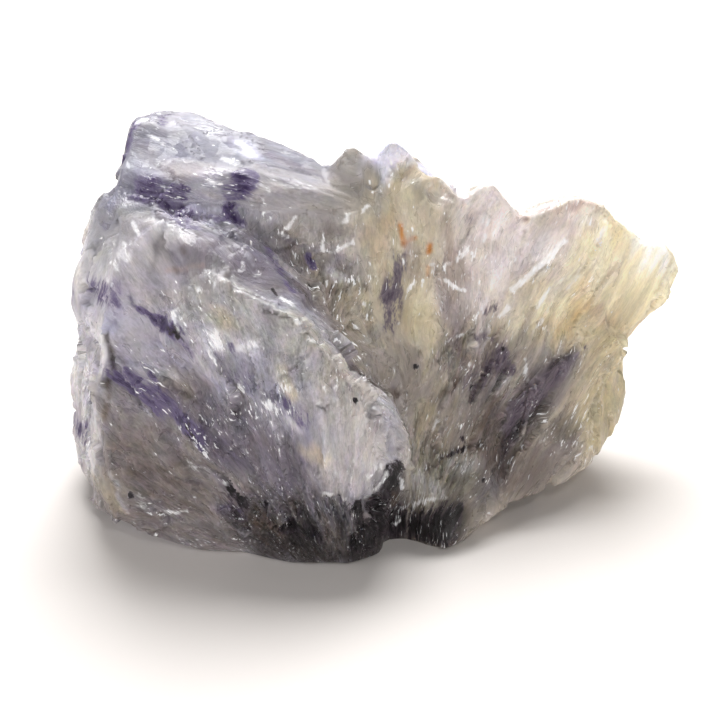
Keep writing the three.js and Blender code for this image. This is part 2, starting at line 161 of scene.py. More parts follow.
def finish_modifier(piece, modifier):
    choose(piece)
    bpy.ops.object.modifier_apply(modifier=modifier.name)


def places(piece):
    """The piece's vertices in millimetres."""
    flat = np.empty(len(piece.data.vertices) * 3)
    piece.data.vertices.foreach_get("co", flat)
    return flat.reshape(-1, 3) / MM


def set_places(piece, points):
    piece.data.vertices.foreach_set("co", (points * MM).ravel())
    piece.data.update()


def directions(piece):
    """The outward direction at each of the piece's vertices."""
    flat = np.empty(len(piece.data.vertices) * 3)
    piece.data.vertex_normals.foreach_get("vector", flat)
    return flat.reshape(-1, 3)


def edge_ends(piece):
    """The two vertices of each of the piece's edges."""
    ends = np.empty(len(piece.data.edges) * 2, dtype=np.int64)
    piece.data.edges.foreach_get("vertices", ends)
    return ends.reshape(-1, 2)


def ramp(values, low, high):
    """0 below low, 1 above high and a soft step between."""
    t = np.clip((values - low) / (high - low), 0.0, 1.0)
    return t * t * (3.0 - 2.0 * t)


def linear(colour):
    """A colour from 0 to 255, as seen on a screen, in the scene's own linear scale."""
    shares = [c / 255.0 for c in colour]
    return np.array([s / 12.92 if s < 0.0404 else ((s + 0.055) / 1.055) ** 2.4 for s in shares])


def keep(piece, name, values):
    """Stores one number or one triple for each vertex under that name."""
    kind, key = ("FLOAT", "value") if values.ndim == 1 else ("FLOAT_VECTOR", "vector")
    attribute = piece.data.attributes.new(name, kind, "POINT")
    attribute.data.foreach_set(key, values.astype(np.float32).ravel())


def ruffle(points, size, seed):
    """A wavering triple of numbers for each point, about -1 to 1, in lumps of that size."""
    shift = Vector((seed * 17.3, seed * 5.1, seed * 9.7))
    return np.array([noise.noise_vector(Vector(p) / size + shift) for p in points])


# Building nodes

class Tree:
    """Adds nodes to a node tree. Inputs are values, or sockets to link."""

    def __init__(self, tree):
        self.tree = tree

    def add(self, kind, settings=None, **inputs):
        """A node. Its inputs are given by their names, or by their numbers after the letter n."""
        made = self.tree.nodes.new(kind)
        for key, value in (settings or {}).items():
            setattr(made, key, value)
        for key, value in inputs.items():
            number = key[1:]
            socket = int(number) if key[0] == "n" and number.isdigit() else key.replace("_", " ")
            self.feed(made.inputs[socket], value)
        return made

    def feed(self, socket, value):
        if isinstance(value, bpy.types.NodeSocket):
            self.tree.links.new(value, socket)
        else:
            socket.default_value = value

    def math(self, operation, *values):
        made = self.tree.nodes.new("ShaderNodeMath")
        made.operation = operation
        for socket, value in zip(made.inputs, values):
            self.feed(socket, value)
        return made.outputs[0]

    def vector(self, operation, *values, out="Vector"):
        made = self.tree.nodes.new("ShaderNodeVectorMath")
        made.operation = operation
        sockets = [made.inputs[0], made.inputs["Scale"]] if operation == "SCALE" else made.inputs
        for socket, value in zip(sockets, values):
            self.feed(socket, value)
        return made.outputs[out]

    def span(self, value, low, high, to_low=0.0, to_high=1.0):
        """value moved from the range low..high to another one, and kept inside it."""
        made = self.tree.nodes.new("ShaderNodeMapRange")
        made.interpolation_type = "SMOOTHSTEP"
        names = ("Value", "From Min", "From Max", "To Min", "To Max")
        for name, number in zip(names, (value, low, high, to_low, to_high)):
            self.feed(made.inputs[name], number)
        return made.outputs["Result"]

    def weighted(self, parts):
        """The sum of the parts, each a value and what it is multiplied by."""
        total = None
        for value, share in parts:
            part = self.math("MULTIPLY", value, share)
            total = part if total is None else self.math("ADD", total, part)
        return total

    def noise(self, place, scale, detail=2.0, roughness=0.5, out=0):
        made = self.tree.nodes.new("ShaderNodeTexNoise")
        self.feed(made.inputs["Vector"], place)
        made.inputs["Scale"].default_value = scale
        made.inputs["Detail"].default_value = detail
        made.inputs["Roughness"].default_value = roughness
        return made.outputs[out]

    def chips(self, place, scale):
        """Flat chips, each tilted its own way: the height and a random number of the chip at a place."""
        scaled = self.vector("SCALE", place, scale)
        middle = self.add("ShaderNodeTexVoronoi", Vector=scaled, Scale=1.0).outputs["Position"]
        chance = self.add("ShaderNodeTexWhiteNoise", Vector=middle).outputs
        lean = self.vector("SUBTRACT", chance["Color"], (0.5, 0.5, 0.5))
        height = self.vector("DOT_PRODUCT", self.vector("SUBTRACT", scaled, middle), lean, out="Value")
        return height, chance["Value"]


# Shape

def remesh(piece):
    even = piece.modifiers.new("remesh", "REMESH")
    even.mode = "VOXEL"
    even.voxel_size = SKIN_STEP * MM
    finish_modifier(piece, even)


def swell(piece, distance):
    """Moves the whole skin outwards, or inwards where distance is below zero."""
    displace = piece.modifiers.new("swell", "DISPLACE")
    displace.mid_level = 0.0
    displace.strength = distance * MM
    finish_modifier(piece, displace)


def smooth(piece, passes, group=""):
    """Melts the piece's surface, where a group is named only as far as each vertex belongs to it."""
    softer = piece.modifiers.new("smooth", "SMOOTH")
    softer.factor = 0.5
    softer.iterations = passes
    softer.vertex_group = group
    finish_modifier(piece, softer)


def add_plug(skin, place, radii):
    """Fills a deep pocket between the CAD model's lumps with a rounded lump, before the skin is closed."""
    deselect()
    bpy.ops.mesh.primitive_ico_sphere_add(subdivisions=3, radius=1.0, location=Vector(place) * MM)
    bpy.ops.transform.resize(value=Vector(radii) * MM)
    bpy.ops.object.transform_apply(location=True, rotation=True, scale=True)
    skin.select_set(True)
    bpy.context.view_layer.objects.active = skin
    bpy.ops.object.join()


def make_skin():
    """A fine, even copy of the CAD solid's surface, with its pockets and slits filled."""
    skin = bpy.data.objects.new("stone_skin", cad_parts[NODE].data.copy())
    bpy.context.scene.collection.objects.link(skin)
    choose(skin)
    bpy.ops.object.mode_set(mode="EDIT")
    bpy.ops.mesh.select_all(action="SELECT")
    bpy.ops.mesh.remove_doubles(threshold=WELD)
    bpy.ops.object.mode_set(mode="OBJECT")
    for place, radii in PLUGS:
        add_plug(skin, place, radii)
    remesh(skin)
    for distance in (CLOSING, -CLOSING):
        swell(skin, distance)
        remesh(skin)
    smooth(skin, SMOOTHING)
    return skin


def thin_out(skin):
    """Makes the skin coarser at the back and underneath, where it is seen less closely."""
    points, normals = places(skin), directions(skin)
    seldom_seen = (normals[:, 1] > 0.3) | (points[:, 2] < REST_BAND)
    group = skin.vertex_groups.new(name="coarse")
    group.add(np.flatnonzero(seldom_seen).tolist(), 1.0, "REPLACE")
    thin = skin.modifiers.new("thin", "DECIMATE")
    thin.ratio = KEPT_SHARE
    thin.vertex_group = group.name
    finish_modifier(skin, thin)


def fan_side(points):
    """How far each point lies to the right of the border between the left growth and the fan."""
    return points[:, 0] - np.interp(points[:, 2], BORDER_HEIGHTS, BORDER_PLACES)


def growths(points, normals):
    """How much of each vertex belongs to the fan, the roof and the strip at the left, from 0 to 1."""
    fan = ramp(fan_side(points), -0.5, 0.5)
    roof = ramp(points[:, 2] + ROOF_FALL * points[:, 0], *ROOF_EDGE) * (1.0 - fan)
    strip = ramp(-normals[:, 0], *STRIP_FACING) * ramp(-points[:, 0], *STRIP_EDGE)
    return fan, roof, strip


def left_grain(points):
    """For each point, its place across, across and along the left growth's fibres."""
    out = points - np.array(LEFT_ROOT)
    out[:, 2] += np.maximum(points[:, 1] - BACK_START, 0.0) * BACK_SINKING
    reach = np.linalg.norm(out, axis=1)
    turn = np.arctan2(out[:, 0], out[:, 2])
    lift = np.arcsin(np.clip(out[:, 1] / reach, -1.0, 1.0))
    return np.stack([turn * LEFT_REACH, lift * LEFT_REACH, reach], axis=1)


def fan_grain(points):
    """For each point, its place across, across and along the fan's columns."""
    out = points - np.array(FAN_ROOT)
    height = np.maximum(out[:, 2], FAN_NARROWEST * FAN_REACH)
    spread = out[:, 0] * FAN_REACH / height
    straight = out[:, 0] - (out[:, 2] - FAN_REACH) * LEAN_MOST
    across = np.where(spread > LEAN_MOST * FAN_REACH, straight, spread)
    return np.stack([across, out[:, 1], out[:, 2] * FAN_ALONG], axis=1)


def straight_grain(points, grain):
    """For each point, its place across, across and along a straight grain."""
    side = grain.cross(Vector((0.0, 1.0, 0.0))).normalized()
    return points @ np.array([side, side.cross(grain), grain]).T


def grain_places(points, normals, fan, roof, strip):
    """Each vertex's place in the grain of the growth that it is part of: across, in depth and along."""
    result = left_grain(points)
    parts = (
        (roof, straight_grain(points, ROOF_GRAIN)),
        (strip, points[:, [1, 0, 2]]),
        (fan, fan_grain(points)),
    )
    for part, grain in parts:
        chosen = part > 0.5
        result[chosen] = grain[chosen]
    sideways = (np.abs(normals[:, 0]) > np.abs(normals[:, 1])) & (strip < 0.5)
    result[sideways] = result[sideways][:, [1, 0, 2]]
    sway = sum(reach * ruffle(points, size, seed) for size, reach, seed in SWAYS)
    return (result + sway) * (1.0, DEPTH_SHARE, 1.0)


def seams(piece, grain):
    """1 at each vertex where the grain jumps from one growth's to another's, and 0 elsewhere."""
    ends = edge_ends(piece)
    jumps = np.linalg.norm(grain[ends[:, 0]] - grain[ends[:, 1]], axis=1) > SEAM_JUMP * SKIN_STEP
    result = np.zeros(len(grain))
    result[ends[jumps].ravel()] = 1.0
    return result


def crests(piece):
    """How sharply the surface stands out at each vertex, or falls in where the number is below zero."""
    starts, stops = edge_ends(piece).T
    points, normals = places(piece), directions(piece)
    result, count = np.zeros(len(points)), np.zeros(len(points))
    for a, b in ((starts, stops), (stops, starts)):
        way = points[a] - points[b]
        fall = np.sum(way * normals[a], axis=1) / np.maximum(np.linalg.norm(way, axis=1), 1e-6)
        np.add.at(result, a, fall)
        np.add.at(count, a, 1.0)
    return np.clip(result / np.maximum(count, 1.0), -CREST_MOST, CREST_MOST)


def stretched(t, grain, stretch):
    """Grain places in which a chip is that many times as long as it is wide."""
    return t.vector("MULTIPLY", grain, (1.0, 1.0, 1.0 / stretch))


def kept(t, name, kind):
    """What is stored at the vertices under that name, in the nodes that break the surface."""
    return t.add("GeometryNodeInputNamedAttribute", {"data_type": kind}, Name=name).outputs[0]


def break_surface(skin):
    """Moves the skin in and out in chips, ribs and small ledges, and leaves the rest flat."""
    group = bpy.data.node_groups.new("broken", "GeometryNodeTree")
    for way in ("INPUT", "OUTPUT"):
        group.interface.new_socket("Geometry", in_out=way, socket_type="NodeSocketGeometry")
    t = Tree(group)
    start = group.nodes.new("NodeGroupInput")
    end = group.nodes.new("NodeGroupOutput")
    grain = kept(t, "grain", "FLOAT_VECTOR")
    bend = t.vector("SUBTRACT", t.noise(grain, 0.3, 2.0, out="Color"), (0.5, 0.5, 0.5))
    bent = stretched(t, t.vector("ADD", grain, t.vector("SCALE", bend, CHIP_SWAY)), CHIP_STRETCH)
    ribs = t.math("SUBTRACT", t.noise(stretched(t, grain, RIB_STRETCH), 0.8, 3.0), 0.5)
    parts = [(ribs, RIB_HEIGHT)] + [(t.chips(bent, 1.0 / size)[0], depth) for size, depth in CHIPS]
    height = t.math("MULTIPLY", t.weighted(parts), kept(t, "broken", "FLOAT"))
    normal = group.nodes.new("GeometryNodeInputNormal").outputs[0]
    shift = t.vector("SCALE", normal, t.math("MULTIPLY", height, MM))
    moved = t.add("GeometryNodeSetPosition", Geometry=start.outputs[0], Offset=shift)
    group.links.new(moved.outputs[0], end.inputs[0])
    modifier = skin.modifiers.new("broken", "NODES")
    modifier.node_group = group
    finish_modifier(skin, modifier)


def within_box(points):
    """The points, kept over the table and inside the CAD model's box, but for a little at the top."""
    low, high = (np.array(corner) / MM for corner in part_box(NODE))
    return np.clip(points, low, high + (0.0, 0.0, TOP_SPARE))


# Marks

def front(x, h):
    """The ray from the camera through a place on the front view: x to the right and h up, in millimetres."""
    lift = math.radians(CAMERA_HEIGHT_DEG)
    forward = Vector((0.0, math.cos(lift), -math.sin(lift)))
    up = Vector((0.0, math.sin(lift), math.cos(lift)))
    eye = AIM - forward * CAMERA_DISTANCE
    return eye, (forward * CAMERA_DISTANCE + Vector((x, 0.0, 0.0)) + up * h).normalized()


def level(direction, right):
    """A view from level with the stone: x to its right and h up from the table."""
    def ray(x, h):
        across = Vector(right) * x + Vector((0.0, 0.0, h))
        return across - Vector(direction) * SIDE_DISTANCE, Vector(direction)
    return ray


VIEWS = {
    "front": front,
    "back": level((0.0, -1.0, 0.0), (-1.0, 0.0, 0.0)),
    "left": level((1.0, 0.0, 0.0), (0.0, -1.0, 0.0)),
    "right": level((-1.0, 0.0, 0.0), (0.0, 1.0, 0.0)),
}

# Where the skin is pulled, as by hand: the view, the place, how far the pull reaches and the pull itself.
PULLS = (
    ("front", (-22.5, 22.5), 4, (0, 0, 0.9)),
    ("front", (-17.5, 23.5), 6, (0, 0, 0.7)),
    ("front", (-12, 21.5), 6, (0, 0, 0.9)),
    ("front", (-0.8, 18.6), 2.8, (0, -0.3, 2.4)),
    ("front", (3.4, 19.2), 3.4, (0, 0.8, 2.2)),
    ("front", (1.3, 18.3), 1.6, (0, 0, -1.4)),
    ("front", (4.6, 18.9), 2.2, (0, 1.6, 0)),
    ("front", (8.2, 16.8), 2.2, (0, 1.6, 0.4)),
    ("front", (4.4, -16.6), 4.2, (0, -0.4, -3.6)),
    ("front", (13, 16), 4, (0, 0, 0.7)),
    ("front", (22, 14.5), 5, (0, 0, 0.6)),
    ("front", (27.6, 4.5), 4, (-2.4, 0, 0)),
    ("front", (6.2, 4.2), 3, (0, -0.9, 0.3)),
)

# Where the skin is melted smooth, as marks of the layer named melted.
MELTED_PLACES = {
    "front": (
        ("melted", 1, 3.4, (-24, 17), (-18, 16.6), (-12, 15.5)),
        ("melted", 1, 3.4, (-17, 13.5), (-10, 12.5), (-3, 11.5)),
    ),
}

# The stone's colours, as seen on a screen.
LILAC = (180, 177, 188)
ROOF_LILAC = (116, 116, 130)
HAZE = (182, 178, 192)
PALE = (214, 211, 214)
FROST = (236, 232, 234)
SKY = (232, 231, 250)
SLATE = (112, 108, 118)
MAUVE = (158, 150, 160)
DUSK = (108, 99, 111)
SMOKE = (182, 176, 178)
PEARL = (188, 182, 176)
TAUPE = (150, 140, 132)
STONE = (132, 122, 120)
CLAY = (170, 154, 146)
UMBER = (86, 70, 60)
BARK = (60, 50, 47)
COAL = (44, 38, 38)
INDIGO = (78, 69, 88)
GLOAM = (122, 116, 144)
MOSS = (178, 172, 156)
KNOB = (152, 147, 143)
LICHEN = (178, 175, 172)
BEIGE = (214, 202, 176)
SAND = (206, 195, 182)
SHELL = (226, 217, 212)
ROSE = (228, 216, 208)
BLUSH = (184, 158, 152)
HONEY = (236, 216, 176)
AMBER = (208, 172, 112)
CREAM = (255, 242, 208)
# A near-white used as painted glow at the thin tip.
PAINTED_GLOW = (255, 253, 246)
BLOSSOM = (252, 240, 238)
STRAW = (206, 192, 158)
LEAF = (112, 105, 94)
RUST = (200, 124, 28)

# The colours that the layers named purple, dark and white turn the stone to, first at half and then in full.
VIOLET = (102, 90, 126)
INK = (54, 40, 80)
PLUM = (112, 100, 112)
DAMSON = (66, 54, 74)
BROWN = (60, 50, 58)
# Black of the dark matrix and specks, also used as painted shade in the hollows under the nose and the toe.
SHADE_AND_MATRIX_BLACK = (11, 6, 9)
# WHITE is the painted highlight of the glints, and the colour of the white flecks and cracks.
WHITE = (248, 248, 250)

# Where the chips are shallower or deeper than elsewhere.
CALM_PLACES = {
    "front": (
        ("calm", 0.3, 5, (-1.5, 20.5), (0.3, 19)),
        ("calm", 0.4, 6, (-9, 17), (-4, 15.5)),
        ("calm", 0.5, 6, (-26, 11), (-20, 10.5), (-15, 9.5)),
        ("calm", 0.5, 5, (-15, 9.5), (-8, 9)),
        ("calm", 0.6, 5, (-27, 7), (-23, 3)),
        ("calm", 0.45, 6, (3, 16), (7.5, 12)),
        ("calm", 0.5, 5, (12.5, 9), (16, 6)),
        ("calm", 1.1, 6, (-24, -8), (-16, -13)),
        ("calm", 0.6, 6, (-3, -7.5), (2, -9), (-1, -12)),
        ("calm", 0.3, 5, (28, 10), (27, 6)),
        ("calm", 0.25, 4.4, (4.8, 5), (7.6, 2.8)),
        ("calm", 1.2, 6, (-5, 9), (-1, 2)),
        ("calm", 1.6, 5, (10, 1), (16, -4), (14, -8)),
        ("calm", 1.7, 4, (5, -8), (8, -11)),
        ("calm", 0.4, 2.6, (-4.5, 4.5), (0.5, 0.8), (3.4, -3)),
        ("calm", 2, 5, (-12, -15), (-3, -16)),
        ("calm", 1.6, 3, (-27.2, 1), (-27, -9)),
        ("calm", 0.8, 4, (-20, 16), (-15, 15)),
    ),
}

CLOUDY = 0.3  # how see-through most of the stone is, in the layer named clear

# Soft marks, from broad to fine: the colour or layer, its strength, its width and its path on the view.
FRONT_MARKS = (
    # The broad colours of the left growth
    (ROOF_LILAC, 0.8, 9, (-21, 21), (-6, 19)),
    # The FROST marks on the shoulder are partly its own pale colour and partly painted light that lifts the
    # roof's shadow from it.
    (FROST, 0.5, 5, (-25, 15), (-22.5, 13.5)),
    (FROST, 0.95, 6.5, (-27, 11), (-21.5, 10)),
    (FROST, 0.6, 4.6, (-25.5, 14.4), (-22, 12.4)),
    (HAZE, 0.6, 5, (-27.5, 5), (-23, 5.5)),
    (MAUVE, 0.6, 5, (-21, 10.8), (-16.5, 9.8)),
    (MAUVE, 0.6, 4, (-23, 7.5), (-18, 6.5)),
    (SMOKE, 0.9, 6, (-10, 17), (-4, 15.5), (-4, 13)),
    (STONE, 0.9, 5, (-5, 9.5), (-2, 5), (-0.5, 2)),
    (MAUVE, 0.95, 5.5, (-16, 9.5), (-9, 8)),
    (DUSK, 0.7, 5, (-15, 10.4), (-9, 8.4)),
    (SLATE, 0.5, 4.5, (-14, 9.5), (-9, 8)),
    (LICHEN, 0.8, 5, (-16, 6), (-7, 3)),
    (MAUVE, 0.6, 4.5, (-22.5, 0.8), (-17.5, 0.5)),
    (PEARL, 0.9, 5.5, (-3.5, 1), (-0.5, -3)),
    (SHELL, 0.6, 5.5, (-1, -5), (0, -8.5), (-1.5, -11)),
    (TAUPE, 0.9, 6, (-5, 10.5), (-2, 5), (-0.3, 1.5)),
    (STONE, 0.9, 8, (-24, -7), (-18.5, -10.5)),
    (STONE, 0.9, 6, (-24, -12), (-15, -15)),
    (UMBER, 0.25, 6, (-24, -9), (-17, -14)),
    (DUSK, 0.9, 6, (-17.5, -4.5), (-12, -7.5), (-8, -10)),
    (DUSK, 0.8, 5, (-12, -12), (-6, -13)),
    # BARK and COAL at the foot, in the hollow and under the toe: partly dark matrix and partly painted shade
    # under the overhanging nose.
    (BARK, 0.9, 5.6, (-9, -16), (-4, -16.5), (0, -17.5), (8, -15.5)),
    (COAL, 0.8, 3.6, (-9, -18.4), (-5, -18.6), (0, -19.4)),
    (COAL, 0.95, 4.6, (2.4, -13.5), (3, -17.5), (9.5, -16.5)),
    (STONE, 0.95, 5, (-26, -13.5), (-20, -17), (-14, -18.5)),
    (BARK, 0.95, 4, (-11, -16.8), (-9, -19), (-4, -20)),
    (COAL, 0.9, 4, (-7, -18), (-3, -18), (1, -19.6)),
    (COAL, 0.95, 3, (1.6, -15), (2.8, -12.6)),
    # The broad colours of the fan
    (BEIGE, 0.9, 9, (3, 16.5), (8, 15), (6, 10), (4, 5)),
    (KNOB, 0.6, 3, (-2.5, 16), (0, 15.5)),
    (KNOB, 0.9, 3.4, (-1.4, 20.2), (-0.8, 18.6), (0.6, 18)),
    (PEARL, 0.7, 1.4, (-1.2, 21), (-1.4, 19.6)),
    (SKY, 0.95, 2.6, (1.9, 20), (4.2, 20.8), (6.2, 18.9), (9.8, 16.9)),
    (TAUPE, 0.8, 6, (4, -1), (7, -5)),
    (BLOSSOM, 0.85, 8, (13, 16.5), (13, 10), (12.5, 6)),
    (CLAY, 0.8, 3, (9.5, 9.5), (9, 4.5)),
    (BLOSSOM, 0.85, 7, (17, 13), (23, 13.5), (24, 12.5)),
    (BLOSSOM, 0.5, 5, (19, 9), (16, 6)),
    (BEIGE, 0.8, 3.6, (17.5, 7), (14, 3)),
    (CREAM, 0.85, 4.5, (23, 10.5), (21, 6), (18.5, 3.5)),
    # Partly the tip's own cream and partly painted glow, where light passes through the thin tip.
    (CREAM, 0.95, 9, (27, 12.5), (30, 9), (27, 5.5)),
    (STRAW, 0.9, 7, (25, 2), (25.5, -2), (23.5, -6)),
    (STONE, 0.85, 5, (9.5, 1.5), (12.5, -1.5), (11.5, -6)),
    (TAUPE, 0.8, 3, (18.5, 3), (15, 1)),
    (STONE, 0.9, 6, (20.5, -7.5), (17.5, -11.5)),
    (INDIGO, 0.95, 4, (20.6, -0.5), (18, -3.2), (15.2, -6.5), (13.4, -11.5)),
    (LEAF, 0.95, 5, (8.5, -11), (12, -11.8)),
    (UMBER, 0.6, 5, (13, -8), (16, -11)),
    (MOSS, 0.5, 3.5, (5, -8.5), (7, -12.5)),
    # Where the stone is clearer, and where it glitters less
    ("clear", 0.15, 8, (26, 12), (30, 9)),
    ("glitter", 0.1, 9, (-21, 21), (-6, 19)),
    ("glitter", 0.1, 6, (28, 10), (27, 6)),
    ("glitter", 0.2, 6, (-26, 11), (-20, 10.5), (-15, 9.5)),
    ("glitter", 0.3, 5, (-14, 9.5), (-8, 9)),
    ("glitter", 0.3, 6, (-23, -7), (-17, -12)),
    ("glitter", 0.55, 4, (-13, -14), (-4, -16)),
    ("glitter", 0.8, 5, (-5, 9), (-1, 2)),
    ("glitter", 0.8, 4, (-17.5, 14.5), (-14, 15.5)),
    ("glitter", 0.9, 4, (-17, -7.5), (-12, -5.5)),
    # The dark zone under the roof
    (GLOAM, 0.85, 4.2, (-22.8, 17), (-19, 16), (-15, 15.2)),
    ("purple", 0.34, 2.2, (-22, 17.2), (-20, 16.2), (-17.8, 14.4)),
    ("purple", 0.7, 1.5, (-21.8, 16.8), (-20.8, 16.4)),
    ("purple", 0.8, 1, (-20.4, 17.5), (-18.6, 17), (-17.6, 16.6)),
    ("purple", 0.9, 1.2, (-19.3, 15.4), (-17.6, 14.2)),
    ("purple", 0.85, 0.7, (-17.9, 15.2), (-17.1, 14.6)),
    ("purple", 0.55, 1.2, (-18.2, 13.9), (-16.4, 13.2)),
    ("purple", 0.9, 0.5, (-17.8, 17.4), (-17.2, 17.1)),
    (PALE, 0.9, 0.45, (-20, 14.8), (-19.4, 14), (-18.2, 13.4), (-17, 12.9), (-16, 12.8)),
    (PALE, 0.8, 0.4, (-20.8, 16.2), (-20.2, 15)),
    ("white", 0.5, 1, (-14.6, 17.7), (-14, 17.2)),
    ("purple", 0.75, 1.8, (-11.8, 18.9), (-11.7, 17.2), (-12.2, 16.2)),
    ("purple", 0.95, 0.9, (-12, 18.6), (-11.8, 17.6)),
    ("purple", 0.7, 0.8, (-10.6, 18.5), (-10.9, 17.6)),
    ("purple", 0.85, 1.3, (-13, 14.8), (-12.5, 13.9)),
    ("purple", 1.1, 0.6, (-13, 14.8), (-12.6, 13.8)),
    ("purple", 0.6, 0.6, (-14.6, 14.1), (-13, 14)),
    (BARK, 0.5, 0.9, (-16, 12.8), (-13.8, 14)),
    # The roof
    ("purple", 0.6, 0.9, (-23.8, 20.2), (-23.2, 22), (-22.4, 23.8)),
    ("purple", 0.4, 0.9, (-20, 23.6), (-19.2, 24.6)),
    (MAUVE, 0.5, 2, (-21.8, 20.8), (-21, 19.2)),
    (CLAY, 0.4, 3, (-19, 19.2), (-15, 18.8)),
    ("white", 0.36, 0.6, (-19.6, 21.6), (-19.6, 19.4)),
    ("white", 0.36, 0.6, (-20.4, 20.8), (-20.2, 19.4)),
    ("white", 0.5, 0.5, (-21, 22.4), (-20.2, 22)),
    ("white", 0.6, 0.4, (-16.2, 22.2), (-15.4, 21.6)),
    ("white", 0.4, 1.2, (-13.4, 20.2), (-12.4, 19.6)),
    (SKY, 0.8, 1.6, (-11.6, 21.4), (-10.6, 20.4)),
    ("white", 0.5, 0.6, (-11.8, 21.2), (-10.8, 20.4)),
    (SLATE, 0.6, 0.5, (-13.2, 21.9), (-11.8, 21)),
    (MAUVE, 0.6, 1.6, (-9.5, 20.8), (-3.5, 18.2)),
    (SLATE, 0.8, 0.45, (-12, 19.8), (-8, 19.2), (-4.2, 18.4)),
    (SLATE, 0.7, 1, (-6.5, 19), (-3.8, 18.3)),
    (SLATE, 0.6, 0.7, (-10.4, 18.5), (-8, 18), (-6.4, 17.4)),
    # The shoulder and the saddle
    ("white", 1, 0.5, (-22.8, 13.6), (-22.2, 12.6)),
    ("white", 0.3, 0.8, (-19.6, 13.2), (-18.2, 12.4)),
    # Painted light that lifts the shade of the ledge under the roof here.
    (LILAC, 0.8, 2.6, (-16.4, 16.6), (-14.2, 16.2)),
    ("white", 0.4, 1.4, (-25.4, 11.8), (-23, 11.2)),
    ("white", 0.55, 1.2, (-25.2, 10.6), (-23.2, 10)),
    (LICHEN, 0.5, 1.4, (-26.4, 11.2), (-25.2, 9.8)),
    (DUSK, 0.4, 1.4, (-20.5, 11.6), (-18.6, 10.8)),
    (UMBER, 0.6, 0.5, (-17.8, 11.2), (-17.6, 10.8)),
    (UMBER, 0.4, 1, (-16.2, 12.4), (-15.6, 11.6)),
    ("white", 1, 0.5, (-24.8, 9.8), (-24.2, 9)),
    ("white", 0.6, 0.6, (-27.9, 7.2), (-27.5, 6.8)),
    ("white", 1, 0.5, (-25.2, 8), (-24.8, 7.4)),
    (SLATE, 0.8, 3, (-11.5, 12.8), (-8.5, 10), (-6, 6.6)),
    ("purple", 0.3, 1.4, (-9, 11), (-7.2, 8)),
    ("purple", 0.5, 0.8, (-7.4, 7.6), (-6.8, 7)),
    ("purple", 0.6, 0.7, (-5.1, 10.3), (-4.8, 9.2)),
    # Painted shade along the crest above the shoulder, against the window light on its upward bevel.
    (SLATE, 0.75, 1.8, (-22.5, 15.2), (-19.5, 13.8), (-15.5, 13), (-12, 12)),
    (PALE, 0.5, 1, (-8.6, 10.2), (-7, 8.6)),
    (BLUSH, 0.45, 0.5, (-19.2, 9), (-17.4, 9.2), (-15.8, 9.5)),
    (UMBER, 0.5, 0.5, (-18.5, 9.1), (-18.3, 8.8)),
    # The crack and the purple lens in it
    (INK, 0.8, 0.4, (-22.9, 6.2), (-22.6, 5.4), (-21.8, 4.8)),
    ("purple", 1, 0.6, (-21.8, 5), (-20.3, 4.2)),
    ("purple", 1.4, 1.1, (-20.2, 4.3), (-18.8, 3.2), (-18.1, 2.3)),
    ("dark", 0.7, 0.8, (-19, 3.2), (-18.3, 2.4)),
    ("white", 0.9, 0.35, (-18.7, 4.8), (-18.1, 2.8)),
    ("white", 0.8, 0.35, (-18.5, 5.1), (-17.7, 5)),
    (SLATE, 0.7, 0.4, (-17.4, 6), (-16.8, 4.6)),
    (PALE, 0.7, 0.4, (-16.8, 4.6), (-15.8, 2.8)),
    ("purple", 0.3, 1, (-18, 2.2), (-17.2, 1)),
    # The boulder
    ("white", 0.8, 0.9, (-17.3, 8), (-17, 7), (-15.6, 6.9)),
    ("white", 0.5, 0.8, (-15.6, 8.8), (-14.6, 7.8)),
    (LICHEN, 0.7, 2, (-14, 7.4), (-11.4, 6.4)),
    (SLATE, 0.6, 0.5, (-12, 7.8), (-9.8, 6.6), (-7, 5.9)),
    (HONEY, 0.35, 1.4, (-14, 4.8), (-13.4, 3.6)),
    ("dark", 0.9, 0.4, (-8.8, 7), (-8.3, 6.4)),
    (BARK, 0.85, 0.4, (-9.6, 4.9), (-7.6, 4.4), (-6, 3.9)),
    ("white", 1.6, 0.4, (-6.7, 4), (-5.7, 3.5)),
    ("white", 1.4, 0.45, (-7.8, 6.1), (-6.7, 5.4)),
    ("white", 1.5, 0.4, (-5.2, 1.9), (-4.4, 1.8)),
    (FROST, 0.8, 1.3, (-14.3, 2.2), (-13.7, 1.2)),
    ("white", 0.75, 1, (-14.3, 2.2), (-13.9, 1.4)),
    ("purple", 0.3, 0.9, (-13.1, 1.4), (-12.7, 0.6)),
    (FROST, 0.6, 1.2, (-12.2, 1.4), (-10.4, 1)),
    ("white", 0.75, 1, (-12, 1.2), (-10.4, 1.2)),
    ("purple", 0.2, 2.2, (-13.8, -0.6), (-11, -2.2), (-8.4, -3.6)),
    (BARK, 0.8, 0.4, (-14, -1.2), (-12.2, -2.8), (-11.6, -3.8)),
    ("white", 1, 0.4, (-12, -2.6), (-11.6, -3.4)),
    ("white", 1, 0.5, (-14.8, 0.8), (-14.6, -0.2)),
    (HONEY, 0.5, 1.1, (-7.8, -1.2), (-7.4, -2.6), (-6.8, -3.4)),
    ("white", 0.6, 0.9, (-7.8, -1.2), (-7.2, -2.8)),
    ("white", 0.8, 0.4, (-6.2, -2.2), (-5.8, -3.2)),
    (BLUSH, 0.5, 0.6, (-1.8, -1.6), (-0.6, -1.8)),
    ("white", 1.2, 0.4, (-3.5, -2.8), (-3.3, -3)),
    ("white", 1.2, 0.4, (-2.5, -2.6), (-2.3, -2.7)),
    ("white", 0.6, 0.6, (-1.7, -4.6), (-1.4, -4.7)),
    # The purple band that falls from the left edge
    ("purple", 0.35, 2, (-25, -1.2), (-21.5, -3), (-19.5, -4.5)),
    ("purple", 0.85, 0.7, (-24.4, -1.9), (-22.4, -3.4)),
    ("purple", 0.7, 0.5, (-23.2, -1), (-22.2, -1.9)),
    ("purple", 0.6, 0.5, (-21, -1.2), (-20.2, -2.8)),
